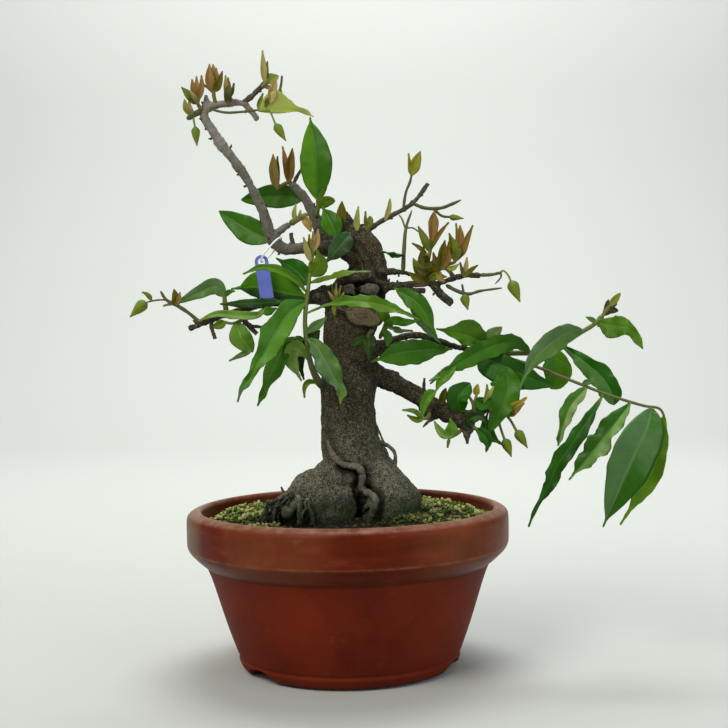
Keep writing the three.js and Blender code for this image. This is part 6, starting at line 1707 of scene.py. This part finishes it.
tagLook = {
    "top": [260.5, 255, -15],
    "foot": [266.5, 294, -15],
    "width": 6.5,
    "length": 21.0,
    "thickness": 0.8,
    "edge": 0.18,  # mm of rounding
    "hole": 1.7,  # mm of radius
    "tieHole": [260.8, 260.5, -15],
    "tieBranch": [276, 244.5, -9.5],
    "tieHalfWidth": 5.2,
    "tieRadius": 0.42,
    "clearance": 4.2,
}


def makeTag():
    half, steps, front = tagLook["width"] / 2, 20, -tagLook["thickness"] / 2
    outline = [(-half, -tagLook["length"]), (half, -tagLook["length"])]
    outline += [(half * math.cos(math.pi * s / steps), -half + half * math.sin(math.pi * s / steps))
                for s in range(steps + 1)]
    holeLine = [(tagLook["hole"] * math.cos(turn), -half + tagLook["hole"] * math.sin(turn))
                for turn in turns(28)]
    work = bmesh.new()
    loops = []
    for line in (outline, holeLine):
        ring = [work.verts.new((x, front, z)) for x, z in line]
        loops += [work.edges.new((a, b)) for a, b in zip(ring, ring[1:] + ring[:1])]
    bmesh.ops.triangle_fill(work, use_beauty=True, edges=loops)
    swept = bmesh.ops.extrude_face_region(work, geom=list(work.faces))
    for item in swept["geom"]:
        if isinstance(item, bmesh.types.BMVert):
            item.co.y += tagLook["thickness"]
    bmesh.ops.recalc_face_normals(work, faces=work.faces)
    top, foot = spot(tagLook["top"]), spot(tagLook["foot"])
    turn = Matrix.Rotation(math.atan2(top.x - foot.x, top.z - foot.z), 4, "Y")
    for vertex in work.verts:
        vertex.co = (turn @ vertex.co + top) * metres + potAxis
    mesh = bpy.data.meshes.new("tag_strip")
    work.to_mesh(mesh)
    work.free()
    piece = newObject("tagStart", mesh)
    bevel = piece.modifiers.new("edge", "BEVEL")
    bevel.width = tagLook["edge"] * metres
    bevel.segments = 2
    bevel.limit_method = "ANGLE"
    return settled(piece)


# A closed loop through the tag's hole and over the branch
def makeTie():
    hole, rise = spot(tagLook["tieHole"]), spot(tagLook["tieBranch"]) - spot(tagLook["tieHole"])
    halfLength = (rise.length + tagLook["clearance"]) / 2
    halfWidth, thick = tagLook["tieHalfWidth"], tagLook["tieRadius"]
    lean = Vector((0, 0, 1)).rotation_difference(rise.normalized())
    build = newBuild()
    steps, sides = 72, 12
    for around in turns(steps):
        middle = Vector((0, halfWidth * math.cos(around), halfLength + halfLength * math.sin(around)))
        outward = Vector((0, math.cos(around), math.sin(around)))
        for turn in turns(sides):
            point = middle + outward * (math.cos(turn) * thick) + Vector((math.sin(turn) * thick, 0, 0))
            build["points"].append(lean @ point + hole)
    joinRows(build, steps, sides)
    mesh = meshFrom("tie_loop", build)
    tidyMesh(mesh)
    return mesh


def plasticMaterial(name, low, high, roughness, grime):
    material, tree = newMaterial(name)
    where = addNode(tree, "ShaderNodeTexCoord", out="Object")
    upright = addNode(tree, "ShaderNodeMapping", {"Vector": where, "Scale": (1, 1, 0.3)})
    streaks, dirt = (
        addNode(tree, "ShaderNodeTexNoise",
                {"Vector": place, "Scale": scale, "Detail": 3.0, "Roughness": rough})
        for place, scale, rough in ((upright, 260.0, 0.6), (where, 700.0, 0.55)))
    faded = addNode(tree, "ShaderNodeMix", {0: streaks, 6: low, 7: high}, 2, data_type="RGBA")
    dirtShare = addNode(tree, "ShaderNodeValToRGB", [dirt], stops=[(0.55, 0.0), (0.75, grime)])
    dirty = addNode(tree, "ShaderNodeMix", {0: dirtShare, 6: faded, 7: "#7f7a68"}, 2, data_type="RGBA")
    rough = addNode(tree, "ShaderNodeMath", [streaks, 0.15, roughness], operation="MULTIPLY_ADD")
    bump = addNode(tree, "ShaderNodeBump", {"Height": streaks, "Distance": 0.00005, "Strength": 0.4})
    shader = addNode(tree, "ShaderNodeBsdfPrincipled", {
        "Base Color": dirty, "Roughness": rough, "Normal": bump, "IOR": 1.49})
    addNode(tree, "ShaderNodeOutputMaterial", [shader])
    return material


# Moulded polystyrene, its blue bleached by the sun: smooth, with chalky streaks and grey grime
tagPlastic = plasticMaterial("fadedBluePolystyrene", "#3f5ac2", "#767fcc", 0.35, 0.25)
# Soft extruded vinyl: off-white and evenly smooth
tiePlastic = plasticMaterial("paleVinylTie", "#e6e8e2", "#f4f4f0", 0.4, 0.1)
addPiece("tag_strip", makeTag(), tagPlastic, ["tag"])
addPiece("tie_loop", makeTie(), tiePlastic, ["tag_tie"])
print("tag and tie")


# Floor, light and camera

studio = {
    "floor": "#b5b8b4",
    "sky": "#e6ebe8",
    "skyStrength": 0.45,
    # Each lamp: place and aim in metres, width, power and colour
    "lamps": {
        "key": ((-0.6, -0.9, 1.1), (0, 0, 0.12), 0.7, 12.5, "#fffaf2"),
        "fill": ((0.9, -0.8, 0.5), (0, 0, 0.12), 0.8, 3.4, "#f2f6ff"),
        "top": ((0.1, 0.3, 1.2), (0, 0, 0.15), 0.8, 6.0, "#ffffff"),
        "wall": ((0.0, 0.7, 1.7), (0, 1.8, 0.8), 1.2, 39.5, "#ffffff"),
    },
}


# Matt backdrop paper, laid flat and curved up behind: it takes soft shadows and shines nowhere
def makeFloor():
    bends = [math.pi / 16 * step for step in range(1, 9)]
    curve = [(-2.5, 0), (1.2, 0)]
    curve += [(1.2 + 0.6 * math.sin(bend), 0.6 - 0.6 * math.cos(bend)) for bend in bends]
    curve.append((1.8, 3.0))
    mesh = bpy.data.meshes.new("studioFloor")
    mesh.from_pydata([(x, y, z - 0.0002) for x in (-3.0, 3.0) for y, z in curve], [],
                     [(i, i + 1, len(curve) + i + 1, len(curve) + i) for i in range(len(curve) - 1)])
    setSmooth(mesh)
    material, tree = newMaterial("matteBackdropPaper")
    shader = addNode(tree, "ShaderNodeBsdfPrincipled", {"Base Color": studio["floor"], "Roughness": 0.9})
    addNode(tree, "ShaderNodeOutputMaterial", [shader])
    mesh.materials.append(material)
    newObject("studioFloor", mesh)


makeFloor()
for name, (location, aim, size, power, colour) in studio["lamps"].items():
    lamp = bpy.data.lights.new(name, "AREA")
    lamp.shape = "DISK"
    lamp.size = size
    lamp.energy = power
    lamp.color = linear(colour)
    holder = newObject(name, lamp)
    holder.location = location
    holder.rotation_euler = (Vector(aim) - Vector(location)).to_track_quat("-Z", "Y").to_euler()
world = bpy.data.worlds.new("softSky")
bpy.context.scene.world = world
world.use_nodes = True
background = world.node_tree.nodes["Background"]
background.inputs[0].default_value = shade(studio["sky"])
background.inputs[1].default_value = studio["skyStrength"]

# Plain colours as the eye reads them, with no film curve
bpy.context.scene.view_settings.view_transform = "Standard"

cameraData = bpy.data.cameras.new("front")
cameraData.sensor_width = 36.0
cameraData.lens = frontView["focal"] / frontView["width"] * 36.0
camera = newObject("front", cameraData)
camera.matrix_world = (Matrix.Translation(eyePlace * metres + potAxis)
                       @ Matrix.Rotation(math.radians(90 - frontView["pitch"]), 4, "X")
                       @ Matrix.Rotation(-roll, 4, "Z"))
bpy.context.scene.camera = camera
print("floor, light and camera")
